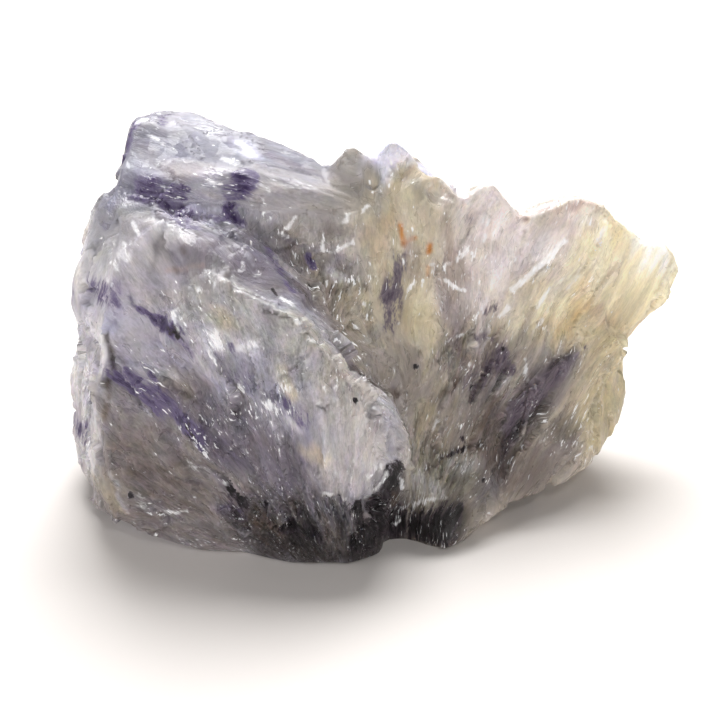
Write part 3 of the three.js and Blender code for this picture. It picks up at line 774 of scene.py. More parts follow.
    (PALE, 0.6, 0.8, (-20.6, -1.3), (-18.5, -1.7)),
    (TAUPE, 0.6, 2.2, (-19.5, -2.4), (-16.6, -3.4)),
    ("purple", 0.6, 1.7, (-21.5, -3.8), (-19.5, -5), (-18, -6.2), (-16.6, -7.6)),
    ("purple", 0.85, 1.3, (-18, -6.2), (-16.8, -7.2), (-16.4, -8.2)),
    ("dark", 0.45, 0.9, (-17.2, -6.6), (-16.6, -8.2)),
    (INDIGO, 0.8, 2, (-15.6, -8.2), (-12.4, -9.6)),
    (SLATE, 0.9, 2.2, (-13.8, -5.8), (-11.9, -6.4)),
    ("dark", 0.4, 0.8, (-12.6, -4.9), (-11.8, -6.8)),
    ("white", 1, 0.5, (-11.7, -8.6), (-10.9, -9.8)),
    ("purple", 0.32, 1.4, (-7.4, -4.4), (-5, -6.4)),
    (FROST, 0.55, 1.1, (-7, -5.8), (-6.2, -6.6)),
    ("white", 1, 0.5, (-9.4, -4.2), (-8.2, -5)),
    ("white", 0.7, 0.7, (-21.7, -4.8), (-21, -5.3)),
    ("white", 0.7, 0.7, (-16.5, -8.5), (-15.5, -8.9)),
    ("white", 0.7, 0.8, (-17, -10.5), (-16.4, -10.9)),
    (TAUPE, 0.6, 1.4, (-14.8, -10.4), (-11.6, -12.6)),
    ("white", 1, 0.4, (-13.5, -12.3), (-11, -12.6)),
    # The corner
    (BARK, 0.85, 0.6, (-25.4, 2.4), (-24.8, 1), (-24.5, -0.6), (-25.1, -2.4)),
    (UMBER, 0.8, 0.6, (-25.1, -2.4), (-25.4, -5), (-25.7, -8)),
    (UMBER, 0.5, 1.2, (-22.3, -11.6), (-20.5, -11.1), (-19, -10.7)),
    (UMBER, 0.4, 0.7, (-19.5, -12), (-16, -12.4)),
    (STRAW, 0.7, 2.8, (-26.6, -12), (-25, -13.8)),
    (PALE, 0.5, 0.5, (-25, -11.5), (-24, -14), (-23.4, -15)),
    ("white", 0.6, 0.8, (-21.9, -13.6), (-21.6, -15.2)),
    ("white", 0.9, 0.4, (-19.4, -15.2), (-18.2, -15.2)),
    ("white", 1, 0.4, (-17.8, -15.1), (-16.8, -14.8)),
    ("dark", 0.45, 1.8, (-12.9, -13), (-11.9, -14.2), (-12.5, -15.2)),
    ("purple", 0.3, 1.4, (-13, -14.8), (-12, -15.4)),
    # The foot and the hollow: the dark marks are partly dark matrix and partly painted shade under the nose
    (SLATE, 0.6, 1.4, (-3.6, -14.8), (-1.4, -15.2)),
    ("dark", 1, 1.4, (-6.8, -16.6), (-4.4, -17.6)),
    ("dark", 1.2, 1, (-0.2, -14.6), (-0.6, -18.4)),
    (STONE, 0.6, 0.9, (0.6, -15.6), (0.4, -18.4)),
    (STONE, 0.7, 1.6, (-2.8, -16), (-2.2, -18.6)),
    (UMBER, 0.8, 1.6, (-10.5, -15.6), (-8, -17.4)),
    (SLATE, 0.6, 1, (-8.4, -14.6), (-7.2, -16.2)),
    ("dark", 1, 3, (3.2, -12.4), (2.2, -14.5), (1.2, -17.4)),
    (UMBER, 0.9, 0.5, (3.4, -13.4), (3.5, -16)),
    ("white", 1.2, 0.5, (-3.4, -13.4), (-1.6, -14), (0.4, -13.7), (1.6, -12.8), (2.6, -11.4)),
    ("white", 0.6, 0.9, (1, -11.6), (2, -10.4)),
    (HONEY, 0.4, 1.2, (-5.2, -9.2), (-3.6, -10.2)),
    (SLATE, 0.25, 1, (-1.4, -10.6), (0.2, -11.4)),
    # The window and the valley
    (BARK, 0.5, 1.6, (-11, 13.2), (-8.8, 12.4)),
    (SMOKE, 0.7, 1.8, (-5.2, 13.8), (-4.8, 12.4)),
    ("white", 1.1, 0.4, (-6.5, 14.3), (-7.4, 12.9)),
    ("white", 0.8, 0.4, (-8.2, 12.5), (-7.2, 12.2)),
    ("white", 1.2, 0.4, (-9.3, 17.1), (-9.1, 16.9)),
    ("white", 1, 0.4, (-9.7, 16), (-9.6, 14.8)),
    ("white", 0.6, 0.6, (-9.4, 14.5), (-9.3, 14)),
    (SLATE, 0.7, 0.8, (-7.6, 12), (-5.5, 11.1), (-4.2, 11)),
    ("white", 0.9, 0.35, (-3.6, 12.8), (-3.8, 11), (-2.5, 10.8), (-1.5, 11.5), (-0.7, 11.8)),
    ("white", 1, 0.35, (-0.7, 11.8), (-0.3, 13.2)),
    ("white", 1.5, 0.35, (0.1, 14.7), (0.8, 15.4)),
    ("white", 1, 0.6, (-1.2, 14.4), (-1.4, 13.7)),
    (UMBER, 0.4, 1.4, (-3.4, 13.2), (-1.4, 12.6)),
    (FROST, 0.5, 0.9, (-3.2, 9), (-2, 8.2)),
    ("white", 1.2, 0.4, (-1.2, 8), (-1, 6.4)),
    (UMBER, 0.6, 0.8, (-2.8, 7.2), (-2.5, 6.8)),
    (UMBER, 0.6, 0.7, (0.5, 7.6), (0.6, 7.2)),
    (UMBER, 0.5, 1.2, (-6.4, 7.6), (-5.4, 6.4)),
    ("white", 1.6, 0.5, (-0.8, 1.7), (-0.9, 0.3)),
    ("white", 1.4, 0.4, (0.4, 5.5), (0.6, 5.3)),
    ("white", 1.4, 0.35, (0.7, 4.4), (0.7, 4)),
    ("white", 1.4, 0.35, (-0.6, 3.3), (-0.1, 3.1)),
    (LICHEN, 0.5, 1, (0.6, 2), (1.6, 2.8)),
    (UMBER, 0.8, 0.9, (-0.6, -0.6), (0.8, -1.8), (2.2, -3), (3.8, -3.4)),
    (BARK, 0.8, 0.7, (1.2, -2.2), (2.8, -3.2)),
    ("white", 1.6, 0.35, (2.4, -3.4), (3.2, -3.9)),
    ("white", 1.6, 0.35, (1.8, -4.8), (1.6, -5.3)),
    # The pillar and the lump below it
    (MOSS, 0.7, 0.9, (3.2, 18.8), (5, 18), (6.4, 16.8)),
    (TAUPE, 0.5, 0.9, (4.6, 17.8), (5.8, 16.8)),
    (LICHEN, 0.6, 2, (7, 16.4), (9.4, 15.6)),
    (LICHEN, 0.5, 0.6, (2, 18), (1.6, 14), (0.8, 11)),
    (AMBER, 0.3, 2, (2.6, 14), (1.4, 11.6)),
    (CLAY, 0.6, 1.6, (8.6, 13), (9.4, 11)),
    (RUST, 0.95, 0.45, (4, 13.4), (4.4, 11.5)),
    (RUST, 0.8, 0.4, (4.4, 11.5), (5.6, 12.2)),
    (RUST, 1, 0.55, (7, 11.6), (7, 11)),
    (RUST, 0.5, 0.45, (6.9, 9.4), (6.8, 8.6)),
    (CLAY, 0.7, 1.8, (5.2, 11), (5.6, 8.8)),
    ("white", 1.2, 0.4, (7.2, 9.6), (8.5, 9.3), (9.8, 10), (10.5, 10.8), (10.7, 11.5)),
    ("white", 1.5, 0.45, (8, 8), (8.9, 7.8)),
    ("white", 1.4, 0.4, (8.9, 7.7), (10.5, 6.9)),
    ("white", 1, 0.35, (8.5, 11.8), (8.4, 11.3)),
    (BEIGE, 0.9, 3.6, (4.8, 5.2), (7, 3)),
    (STRAW, 0.6, 2.4, (4.8, 5), (6.4, 3.2)),
    (MAUVE, 0.4, 1.8, (8.6, 5.8), (9.6, 4.2)),
    ("white", 1.2, 0.4, (8.6, 1.8), (10.2, 2.4), (11.6, 4.2), (12.7, 6)),
    ("white", 1.2, 0.4, (4.8, 7), (5.4, 7.8)),
    ("purple", 0.42, 1.8, (3.9, 10), (3, 6.5), (2.6, 3.2)),
    ("purple", 0.5, 0.8, (3.9, 9), (3.5, 6.6)),
    # The peak, the cap and the tip
    ("white", 0.75, 1.2, (12.8, 15.4), (12.7, 15.1)),
    ("white", 1.6, 0.35, (12.4, 14.2), (12.3, 13.7)),
    ("white", 1.6, 0.35, (12.9, 14), (12.7, 13.5)),
    ("white", 1.4, 0.4, (12.5, 12.5), (12.4, 12)),
    ("purple", 0.28, 0.9, (11.1, 14), (10.9, 12.4)),
    ("white", 0.5, 0.6, (15.8, 13.3), (14.7, 12.2)),
    ("white", 0.5, 0.9, (14.8, 15.2), (15.6, 14.8)),
    (LILAC, 0.35, 2.4, (18, 12), (16.4, 9.4)),
    ("white", 1.4, 0.5, (20.5, 11.8), (19.5, 10.8), (18.3, 9.6), (16.6, 8.2), (15.2, 7)),
    ("white", 1.2, 0.4, (17.5, 9), (16, 7.4)),
    ("white", 1.5, 0.5, (24.6, 13.2), (24, 12)),
    (CREAM, 0.8, 1.8, (22.6, 11.6), (24, 10.2)),
    ("white", 0.5, 0.7, (18.4, 13.4), (18.9, 12.2)),
    (BLUSH, 0.6, 0.9, (16.5, 14.2), (18, 14.8), (19.3, 15.2), (20.8, 15.2), (22.5, 15.8), (24, 15.4)),
    (CLAY, 0.3, 2, (18.8, 14.2), (21, 13)),
    (HONEY, 0.5, 1.6, (25.4, 13.8), (26, 11.6)),
    (AMBER, 0.7, 1.3, (23.2, 5.7), (21.6, 5)),
    (AMBER, 0.5, 1.6, (21.6, 4.8), (20.4, 3.4)),
    (AMBER, 0.35, 1.4, (22.4, 7.6), (21, 6)),
    (BLUSH, 0.6, 1.5, (23.6, 5.2), (24.4, 3.8)),
    # Painted glow at the thin tip, where light passes through it.
    (PAINTED_GLOW, 0.9, 2.8, (28.4, 11.8), (30.2, 10.4)),
    (STRAW, 0.4, 3.4, (25.5, 7), (28, 5.6)),
    ("white", 0.8, 0.45, (22, 9), (20.6, 7)),
    ("white", 0.8, 0.4, (19, 7.2), (17.6, 5.2)),
    ("white", 1, 0.45, (14.8, 5.4), (13.8, 4.2)),
    ("white", 1, 0.4, (18.2, 4), (17.8, 3.4)),
    # The purple patches and the dark band
    ("purple", 0.35, 0.7, (11.5, 2.2), (13, 2)),
    ("purple", 0.35, 1.2, (13.3, 5.5), (12.6, 4.6)),
    ("purple", 0.28, 2.6, (13.6, 0.6), (11.4, -2.4)),
    ("purple", 0.6, 1.1, (14.2, 0.7), (13.1, -0.7)),
    ("purple", 0.8, 0.9, (14.7, -0.1), (14.3, -1.2), (15.2, -0.8)),
    ("purple", 0.5, 0.6, (13, -1.5), (11.8, -3), (11, -4.2)),
    (UMBER, 0.9, 1.2, (9.6, -1.9), (8.9, -2.9)),
    (UMBER, 0.6, 0.6, (8.4, -3.2), (6.5, -5), (5, -7)),
    (LICHEN, 0.4, 1.6, (12.6, -2.2), (15, -2.2)),
    ("white", 0.6, 0.6, (16.5, -1.3), (16.9, -2)),
    ("white", 0.6, 0.6, (18.5, 3), (19, 2.2)),
    (LICHEN, 0.6, 1, (18.4, 0.6), (20, 2)),
    ("white", 1.2, 0.35, (16.6, 0.2), (16.6, -1.2)),
    (UMBER, 0.7, 1.1, (13.4, -4.2), (12, -6.6)),
    ("purple", 0.6, 0.7, (22.4, 1.2), (21.3, 0)),
    (COAL, 0.6, 1.4, (20.6, 0.6), (18.6, -1.8)),
    ("purple", 0.6, 1.7, (20, -1.4), (16, -4.4), (14.6, -7)),
    (COAL, 0.8, 1.6, (17.8, -4.6), (15.8, -7.2)),
    (COAL, 0.5, 1.4, (14.4, -9), (13.4, -11)),
    (MAUVE, 0.5, 0.8, (15.2, -4.8), (14, -7.2)),
    (SLATE, 0.7, 2.6, (13, -12.5), (12.5, -14)),
    (LEAF, 0.6, 2, (18.8, -5.6), (20.6, -6.6)),
    ("white", 0.8, 0.4, (17.2, -8.6), (18.4, -8)),
    # The flank
    (HONEY, 0.5, 1.8, (23.4, -1.4), (23.8, -2.6)),
    (LEAF, 0.4, 0.6, (23.8, 0.2), (22.8, -1)),
    (LEAF, 0.35, 1.6, (24, -4.6), (22, -6.4)),
    (CREAM, 0.6, 1, (26.4, 1.6), (26.6, -0.6)),
    # The toe
    (LICHEN, 0.6, 1.1, (5.6, -9), (5.9, -11.6)),
    (PALE, 0.6, 1.4, (6.2, -12), (7.8, -12.8)),
    (STRAW, 0.4, 1.6, (6.6, -4.8), (6.8, -6.8)),
    ("white", 1, 0.35, (7.2, -7), (8, -5)),
    (LICHEN, 0.7, 1.6, (8.6, -10.9), (11, -10)),
    (BARK, 0.9, 0.7, (7, -10.8), (8, -9.9), (9.5, -9.1), (11, -8.6), (12.2, -8.4)),
    ("dark", 0.7, 0.5, (7.2, -10.6), (8.2, -9.8), (9.6, -9.1), (11, -8.7)),
    ("dark", 0.8, 0.45, (10.2, -7.6), (10.6, -8.2)),
    # Painted shadow in the arch under the toe, where the floor would show, over dark matrix.
    ("dark", 1, 3.4, (3.8, -16.4), (8.5, -16.6)),
    ("white", 0.9, 0.45, (4.2, -14.9), (5.5, -14.3), (7, -13.9), (8.5, -13.7)),
    ("white", 1.6, 0.35, (4.1, -12), (4.2, -12.9)),
    ("white", 1.6, 0.35, (3.4, -16.5), (3.9, -16.1)),
    # Partly dark matrix and partly painted shade along the toe's lower edge.
    ("dark", 1.2, 0.8, (7.6, -17.6), (9.5, -16), (10, -15)),
    # Black specks
    ("dark", 1, 0.5, (5.6, -0.8)),
    ("dark", 1, 0.45, (14.2, 1.1)),
    ("dark", 1, 0.35, (11.2, -2.6), (11, -3.8)),
    ("dark", 1, 0.4, (12.3, -12)),
    ("dark", 1, 0.4, (-0.5, -3.9)),
    ("dark", 1, 0.55, (-23, -13.6)),
    ("dark", 1, 0.45, (-25.1, -14.4)),
)

BACK_MARKS = (
    (ROOF_LILAC, 0.8, 9, (13, 30), (23, 28)),
    (MAUVE, 0.8, 6, (24, 17), (12, 14)),
    (DUSK, 0.7, 6, (26, 9), (15, 7), (8, 4)),
    (STONE, 0.9, 6, (28, 3), (16, 2)),
    (LILAC, 0.8, 5, (-5, 26), (-4, 20), (-1, 12)),
    (SAND, 0.6, 4, (5, 22), (3, 15)),
    (PEARL, 0.8, 5, (7, 26), (2, 18), (3, 8)),
    (SHELL, 0.9, 8, (-13, 22), (-12, 12)),
    (ROSE, 0.9, 7, (-20, 23), (-25, 21)),
    (HONEY, 0.8, 5, (-24, 17), (-19, 11)),
    (AMBER, 0.5, 2, (-23, 15), (-20, 11)),
    (CREAM, 0.9, 5, (-28, 20), (-29.5, 18)),
    (STRAW, 0.9, 6, (-22, 7), (-17, 3)),
    (TAUPE, 0.8, 5, (-9, 14), (-10, 7)),
    (STONE, 0.9, 5, (-14, 4), (-8, 3)),
    (BARK, 0.9, 5, (11, 2), (0, 2.5), (-8, 1.5)),
    (COAL, 0.95, 3.5, (6, 0.8), (-6, 0.8)),
    ("purple", 0.32, 4, (27, 23), (20, 20), (12, 20.5), (6, 17)),
    ("purple", 0.85, 1.4, (25, 22), (20, 19.6), (18, 19)),
    ("purple", 0.9, 1.1, (13.5, 22), (13, 19), (14, 16.5)),
    ("purple", 0.5, 1.8, (24, 10), (17, 7.5), (12, 3.5)),
    ("purple", 0.8, 0.9, (20, 8.5), (16, 7)),
    ("purple", 0.32, 3, (-19, 12), (-14, 7), (-11, 2)),
    ("purple", 0.8, 1, (-17, 11), (-14.5, 7.5)),
    ("purple", 0.6, 1, (-9, 19), (-8, 15)),
    ("dark", 0.6, 1.4, (9, 9), (7, 6)),
    (COAL, 0.8, 3, (4, 3), (1, 2)),
    ("white", 0.6, 2, (21, 25), (16, 24)),
    ("white", 0.6, 1.6, (10, 12), (8, 10)),
    ("white", 0.6, 1.2, (-14, 18), (-11, 12)),
    ("white", 0.6, 1, (22, 13), (19, 12)),
)

LEFT_MARKS = (
    (ROOF_LILAC, 0.8, 8, (-8, 30), (7, 30)),
    (HAZE, 0.7, 6, (0, 17), (9, 15)),
    (MAUVE, 0.8, 6, (-10, 14), (-3, 11)),
    (MAUVE, 0.5, 4, (8, 11), (3, 9)),
    (STONE, 0.9, 6, (12, 3), (-4, 2), (-14, 2)),
    (UMBER, 0.5, 2, (6, 2.5), (1, 1.5)),
    ("purple", 0.32, 3.6, (12, 24), (2, 21), (-9, 22)),
    ("purple", 0.85, 1.2, (5, 21.4), (1, 20.6)),
    ("purple", 0.7, 1, (-4, 22), (-7, 21)),
    ("purple", 0.34, 2.6, (9, 8.5), (2, 6.5), (-6, 7)),
    ("purple", 0.7, 1, (7, 8), (3, 6.4)),
    ("dark", 0.6, 1, (-8, 6), (-6, 4.5)),
    ("white", 0.6, 1.6, (4, 26), (-2, 25)),
    ("white", 0.6, 1.6, (6, 16), (2, 14)),
)

RIGHT_MARKS = (
    (HONEY, 0.7, 4, (-2, 17), (4, 14)),
    (AMBER, 0.5, 1.8, (3, 15), (5, 12)),
    (STRAW, 0.8, 5, (-4, 10), (-2, 5)),
    (MAUVE, 0.6, 4, (7, 12), (9, 7)),
    (STONE, 0.8, 5, (-6, 2), (8, 2)),
    ("purple", 0.32, 2.6, (4, 8), (7, 5), (10, 4)),
    ("purple", 0.8, 0.9, (5, 7.6), (7, 5.4)),
    ("white", 0.6, 1.2, (5, 19), (8, 16)),
)

MARKS = {"front": FRONT_MARKS, "back": BACK_MARKS, "left": LEFT_MARKS, "right": RIGHT_MARKS}


def ray_tree(piece):
    """What finds the place where a ray meets the piece."""
    faces = [tuple(p.vertices) for p in piece.data.polygons]
    return BVHTree.FromPolygons([tuple(p) for p in places(piece)], faces)


def meet(tree, view, place):
    """Where the ray through a place on a view meets the piece. A place beside it is first moved inwards."""
    for step in range(INWARD_STEPS):
        share = 1.0 - INWARD_STEP * step
        spot = tree.ray_cast(*VIEWS[view](place[0] * share, place[1] * share))[0]
        if spot is not None:
            return [np.array(spot)]
    print("no stone at", view, place)
    return []


def paint_all(layers, points, tree, marks, shift=0.0):
    """Lays the marks of every view on the points. The shift is what makes the broad ones ragged."""
    for view, listed in marks.items():
        for mark in listed:
            share = min(mark[2] / RAGGED_WIDTH, 1.0)
            paint(layers, points + share * shift, tree, view, *mark)


def paint(layers, points, tree, view, layer, strength, width, *path):
    """Lays one soft mark of a colour, or of a layer that the material reads, on the stone."""
    spots = sum((meet(tree, view, place) for place in path), [])
    if not spots:
        return
    near = np.full(len(points), np.inf)
    for a, b in zip(spots, spots[1:] or spots):
        line = b - a
        t = np.clip((points - a) @ line / max(line @ line, 1e-9), 0.0, 1.0)
        near = np.minimum(near, np.linalg.norm(points - a - t[:, None] * line, axis=1))
    weight = 1.0 - ramp(near / width, *MARK_EDGE)
    if isinstance(layer, str):
        layers[layer] += weight * (strength - layers[layer])
    else:
        layers["tone"] += strength * weight[:, None] * (linear(layer) - layers["tone"])


def sculpt(skin):
    """Pulls the skin at the named places and melts it smooth at others."""
    points = places(skin)
    tree = ray_tree(skin)
    for view, place, reach, pull in PULLS:
        for spot in meet(tree, view, place):
            near = np.linalg.norm(points - spot, axis=1)
            points += (1.0 - ramp(near / reach, 0.0, 1.0))[:, None] * np.array(pull)
    set_places(skin, points)
    layers = {"melted": np.zeros(len(points))}
    paint_all(layers, points, tree, MELTED_PLACES)
    melted = layers["melted"]
    group = skin.vertex_groups.new(name="melted")
    for index in np.flatnonzero(melted > LEAST_MELTED):
        group.add([int(index)], float(melted[index]), "REPLACE")
    smooth(skin, MELTING, group.name)


def paint_calm(skin, fan, roof):
    """How rough and how varied the stone is at each vertex."""
    points = places(skin)
    layers = {"calm": 1.0 - FAN_CALM * fan - ROOF_CALM * roof}
    paint_all(layers, points, ray_tree(skin), CALM_PLACES)
    return layers["calm"]


def paint_stone(skin, fan, strip, grain):
    """The stone's colour and layers at each vertex. Broad marks are ragged along the grain."""
    points = places(skin)
    roots = np.where(fan[:, None] > 0.5, np.array(FAN_ROOT), np.array(LEFT_ROOT))
    flow = points - roots
    flow /= np.linalg.norm(flow, axis=1)[:, None]
    lumps = ruffle(points, LUMP_SIZE, 1)
    clouds = ruffle(grain * CLOUD_SHAPE, CLOUD_SIZE, 2)
    ragged_shift = lumps + flow * CLOUD_REACH * clouds[:, :1]
    sand = ramp(fan_side(points + SAND_RAGGEDNESS * ragged_shift), -SAND_FADE, SAND_FADE)
    tone = np.tile(linear(LILAC), (len(points), 1))
    tone += sand[:, None] * (linear(SAND) - tone)
    # The strip that faces the left is painted near-white: partly its own pale colour and partly painted light
    # from the left.
    tone += strip[:, None] * (linear(FROST) - tone)
    window_side = ramp(directions(skin)[:, 1], *WINDOW_FACING)
    layers = {
        "tone": tone,
        "clear": np.full(len(points), CLOUDY),
        "glitter": np.clip(0.4 + 0.8 * lumps[:, 1] + 0.5 * clouds[:, 1], 0.0, 1.0),
    }
    for layer in ("purple", "dark", "white"):
        layers[layer] = np.zeros(len(points))
    paint_all(layers, points, ray_tree(skin), MARKS, ragged_shift)
    layers["tone"] *= 1.0 + CLOUD_TONE * clouds[:, 2:]
    # Painted shade: the faces turned to the window light are painted darker.
    layers["tone"] *= 1.0 - WINDOW_SHADE * window_side[:, None]
    return layers


# Materials

def painted(t, name, out="Fac"):
    """What is stored at the vertices under that name, in a material."""
    return t.add("ShaderNodeAttribute", {"attribute_name": name}).outputs[out]


def mottle(t, grain, stretch, *kind):
    """Noise along the grain, spread over the range from 0 to 1."""
    return t.span(t.noise(stretched(t, grain, stretch), *kind), 0.35, 0.65)


def specks(t, place, scale, need, softness):
    """1 where the noise is higher than the need, with a soft edge, and 0 elsewhere."""
    return t.span(t.math("SUBTRACT", t.noise(place, scale, 2.0, 0.6), need), 0.0, softness)


def blend(t, amount, under, over):
    """under turned to over by amount. Both are colours, as values or sockets."""
    mix = t.add("ShaderNodeMix", {"data_type": "RGBA"}, n0=amount, n6=under, n7=over)
    return mix.outputs[2]


def screen(colour):
    return (*linear(colour), 1.0)


def frayed(t, layer, edge, raggedness):
    """A painted layer whose soft edge is broken up by the detail of the surface."""
    amount = painted(t, layer)
    rough = t.math("MULTIPLY", edge, t.span(amount, 0.0, 0.35, 0.0, raggedness))
    return t.math("ADD", amount, rough)


def tinted(t, tone, grain, contrast):
    """The tone, here and there a little warmer, colder or more mauve."""
    place = stretched(t, grain, 1.6)
    warmth = t.math("SUBTRACT", t.noise(place, 0.7, 4.0, 0.65), 0.5)
    mauve = t.math("SUBTRACT", t.noise(t.vector("ADD", place, MAUVE_SHIFT), 1.1, 4.0, 0.65), 0.5)
    tint = t.vector("ADD", t.vector("SCALE", WARMER, warmth), t.vector("SCALE", MORE_MAUVE, mauve))
    return t.vector("MULTIPLY", tone, t.vector("ADD", t.vector("SCALE", tint, contrast), (1.0, 1.0, 1.0)))


def stone_material():
    material = bpy.data.materials.new("blue_john")
    material.use_nodes = True
    material.node_tree.nodes.clear()
    t = Tree(material.node_tree)
    grain = painted(t, "grain", "Vector")
    glitter, contrast, fan = (painted(t, name) for name in ("glitter", "contrast", "fan"))

    # Noise in lumps of several sizes, and how light it makes the stone.
    fibres = mottle(t, grain, 10.0, 3.2, 3.0, 0.7)
    fine = mottle(t, grain, 4.0, 7.0, 2.0, 0.7)
    bands = mottle(t, grain, 3.0, 0.9, 4.0, 0.65)
    patches = mottle(t, grain, 1.3, 0.5, 5.0, 0.65)
    grit = mottle(t, grain, 1.8, 3.6, 3.0, 0.7)
    chip, chance = t.chips(stretched(t, grain, 2.4), 1.6)
    mixed = t.weighted(((patches, 0.28), (bands, 0.26), (fibres, 0.22), (grit, 0.24)))
    edge = t.math("SUBTRACT", mixed, 0.5)
    detail = t.math("ADD", t.math("MULTIPLY", edge, contrast), 0.5)
    light = t.math("ADD", t.span(fine, 0.0, 1.0, -0.1, 0.1), t.span(detail, 0.0, 1.0, -0.34, 0.3))
    light = t.math("ADD", light, t.span(chance, 0.0, 1.0, -0.05, 0.05))
    light = t.math("ADD", t.math("MULTIPLY", light, contrast), 1.0)
    # Painted highlight and painted shade: lighter where the surface stands out in a crest, darker where it
    # falls into a hollow.
    light = t.math("ADD", light, t.span(painted(t, "crest"), -0.3, 0.3, -0.05, 0.07))
    colour = t.vector("SCALE", tinted(t, painted(t, "tone", "Vector"), grain, contrast), light)

    # The purple bands, and the dark layer: black specks and dark matrix, and painted shade in the hollow
    # under the nose and under the toe.
    streaks = t.math("ADD", edge, t.math("MULTIPLY", t.math("SUBTRACT", fibres, 0.5), 0.35))
    purple = frayed(t, "purple", streaks, 0.85)
    colour = blend(t, t.span(purple, 0.0, 0.55), colour, blend(t, fan, screen(VIOLET), screen(PLUM)))
    colour = blend(t, t.span(purple, 0.5, 1.0), colour, blend(t, fan, screen(INK), screen(DAMSON)))
    dark = frayed(t, "dark", edge, 1.4)
    colour = blend(t, t.span(dark, 0.15, 0.45), colour, screen(BROWN))
    colour = blend(t, t.span(dark, 0.35, 0.75), colour, screen(SHADE_AND_MATRIX_BLACK))

    # Painted shadows between the fibres, painted glints, and the white marks, which are partly white flecks
    # and cracks and partly painted glints.
    white = frayed(t, "white", edge, 1.6)
    spark_need = t.math("SUBTRACT", t.span(glitter, 0.1, 1.0, 0.7, 0.6), t.math("MULTIPLY", white, 0.12))
    sparks = specks(t, t.vector("ADD", stretched(t, grain, 5.0), SPARK_SHIFT), 4.2, spark_need, 0.05)
    shadow_need = t.span(glitter, 0.0, 1.0, 0.72, 0.62)
    shadows = specks(t, t.vector("ADD", stretched(t, grain, 9.0), SHADOW_SHIFT), 3.4, shadow_need, 0.06)
    shadows = t.math("MULTIPLY", shadows, contrast)
    colour = t.vector("SCALE", colour, t.span(shadows, 0.0, 1.0, 1.0, 0.6))
    bright = t.math("MAXIMUM", sparks, t.span(white, 0.2, 1.2, 0.0, 0.8))
    bright = t.math("MULTIPLY", bright, t.span(contrast, 0.0, 0.4))
    colour = blend(t, t.math("MULTIPLY", bright, 0.85), colour, screen(WHITE))

    bumps = t.math("MULTIPLY", t.weighted(((chip, 1.2), (fibres, 0.35))), contrast)
    bump = t.add("ShaderNodeBump", Strength=1.0, Distance=BUMP_DEPTH * MM, Height=bumps)
    chip_roughness = t.span(chance, 0.0, 1.0, 0.12, 0.45)
    dull_roughness = t.span(glitter, 0.0, 0.5, 0.35, 0.0)
    shader = t.add(
        "ShaderNodeBsdfPrincipled",
        IOR=FLUORITE_IOR,
        Normal=bump.outputs[0],
        Roughness=t.math("ADD", chip_roughness, dull_roughness),
        Base_Color=colour,
        Subsurface_Weight=0.3,
        Subsurface_Scale=SUBSURFACE_DEPTH * MM,
        Subsurface_Radius=(1.0, 0.9, 0.8),
        # Painted glints and white marks let less light through, so that they stay bright.
        Transmission_Weight=t.math("MULTIPLY", painted(t, "clear"), t.math("SUBTRACT", 1.0, bright)),
    )
    t.add("ShaderNodeOutputMaterial", Surface=shader.outputs[0])
    return material


def floor_material():
    """A pale table that turns into the white of the background farther out."""
    material = bpy.data.materials.new("pale_table")
    material.use_nodes = True
    t = Tree(material.node_tree)
    away = t.vector("LENGTH", t.add("ShaderNodeTexCoord").outputs["Object"], out="Value")
    shader = material.node_tree.nodes["Principled BSDF"]
    shader.inputs["Base Color"].default_value = TABLE_COLOUR
    shader.inputs["Roughness"].default_value = 0.7
    shader.inputs["Emission Color"].default_value = (1.0, 1.0, 1.0, 1.0)
    t.feed(shader.inputs["Emission Strength"], t.span(away, *TABLE_FADE, 0.0, 0.9))
    return material


# Stage

def add_floor():
    bpy.ops.mesh.primitive_plane_add(size=20.0, location=(0.0, 0.0, -0.00002))
    floor = bpy.context.object
    floor.name = "table"
    floor.data.materials.append(floor_material())


def add_camera():
    eye, forward = front(0.0, 0.0)
    data = bpy.data.cameras.new("camera")
    data.lens = LENS
    data.sensor_width = SENSOR
    data.clip_start = 0.01
    camera = bpy.data.objects.new("camera", data)
    camera.location = eye * MM
    camera.rotation_euler = forward.to_track_quat("-Z", "Y").to_euler()
    bpy.context.scene.collection.objects.link(camera)
    bpy.context.scene.camera = camera


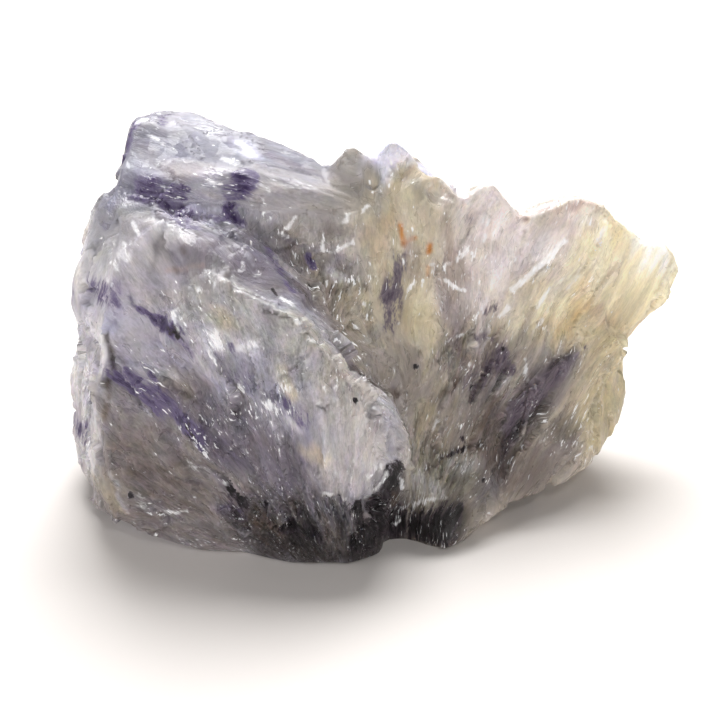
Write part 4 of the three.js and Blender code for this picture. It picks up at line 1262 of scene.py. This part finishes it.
def add_light(name, place, width, height, power):
    """A soft box at a place in metres, turned to the stone."""
    data = bpy.data.lights.new(name, "AREA")
    data.shape = "RECTANGLE"
    data.size = width
    data.size_y = height
    data.energy = power
    light = bpy.data.objects.new(name, data)
    light.location = place
    light.rotation_euler = (AIM * MM - Vector(place)).to_track_quat("-Z", "Y").to_euler()
    bpy.context.scene.collection.objects.link(light)


def add_world():
    """Warm white light that is stronger from below and weaker from above, and white at the horizon."""
    world = bpy.data.worlds.new("studio")
    world.use_nodes = True
    t = Tree(world.node_tree)
    way = t.add("ShaderNodeTexCoord").outputs["Generated"]
    rise = t.add("ShaderNodeSeparateXYZ", Vector=way).outputs["Z"]
    background = world.node_tree.nodes["Background"]
    background.inputs["Color"].default_value = SKY_COLOUR
    strength = t.math("MAXIMUM", t.span(rise, 0.0, 0.8, 0.5, 0.13), t.span(rise, 0.02, 0.07, 1.0, 0.0))
    t.feed(background.inputs["Strength"], strength)
    bpy.context.scene.world = world
    bpy.context.scene.view_settings.view_transform = "Standard"


noise.seed_set(NOISE_SEED)
deselect()
skin = make_skin()
sculpt(skin)
thin_out(skin)
points, normals = places(skin), directions(skin)
fan, roof, strip = growths(points, normals)
grain = grain_places(points, normals, fan, roof, strip)
seam = seams(skin, grain)
keep(skin, "grain", grain)
calm = paint_calm(skin, fan, roof)
keep(skin, "contrast", (LEAST_CONTRAST + (1.0 - LEAST_CONTRAST) * calm) * (1.0 - seam))
keep(skin, "broken", calm * ramp(points[:, 2], REST_BAND, 3.0 * REST_BAND) * (1.0 - SEAM_CALM * seam))
break_surface(skin)
set_places(skin, within_box(places(skin)))
# How sharply the surface stands out, which the material turns into painted highlight on crests and painted
# shade in hollows.
keep(skin, "crest", crests(skin))
keep(skin, "fan", fan)
for layer, values in paint_stone(skin, fan, strip, grain).items():
    keep(skin, layer, values)
skin.data.materials.clear()
skin.data.materials.append(stone_material())
choose(skin)
bpy.ops.object.shade_smooth()
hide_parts(NODE)
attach(skin, "root")

add_floor()
add_camera()
for light in LIGHTS:
    add_light(*light)
add_world()
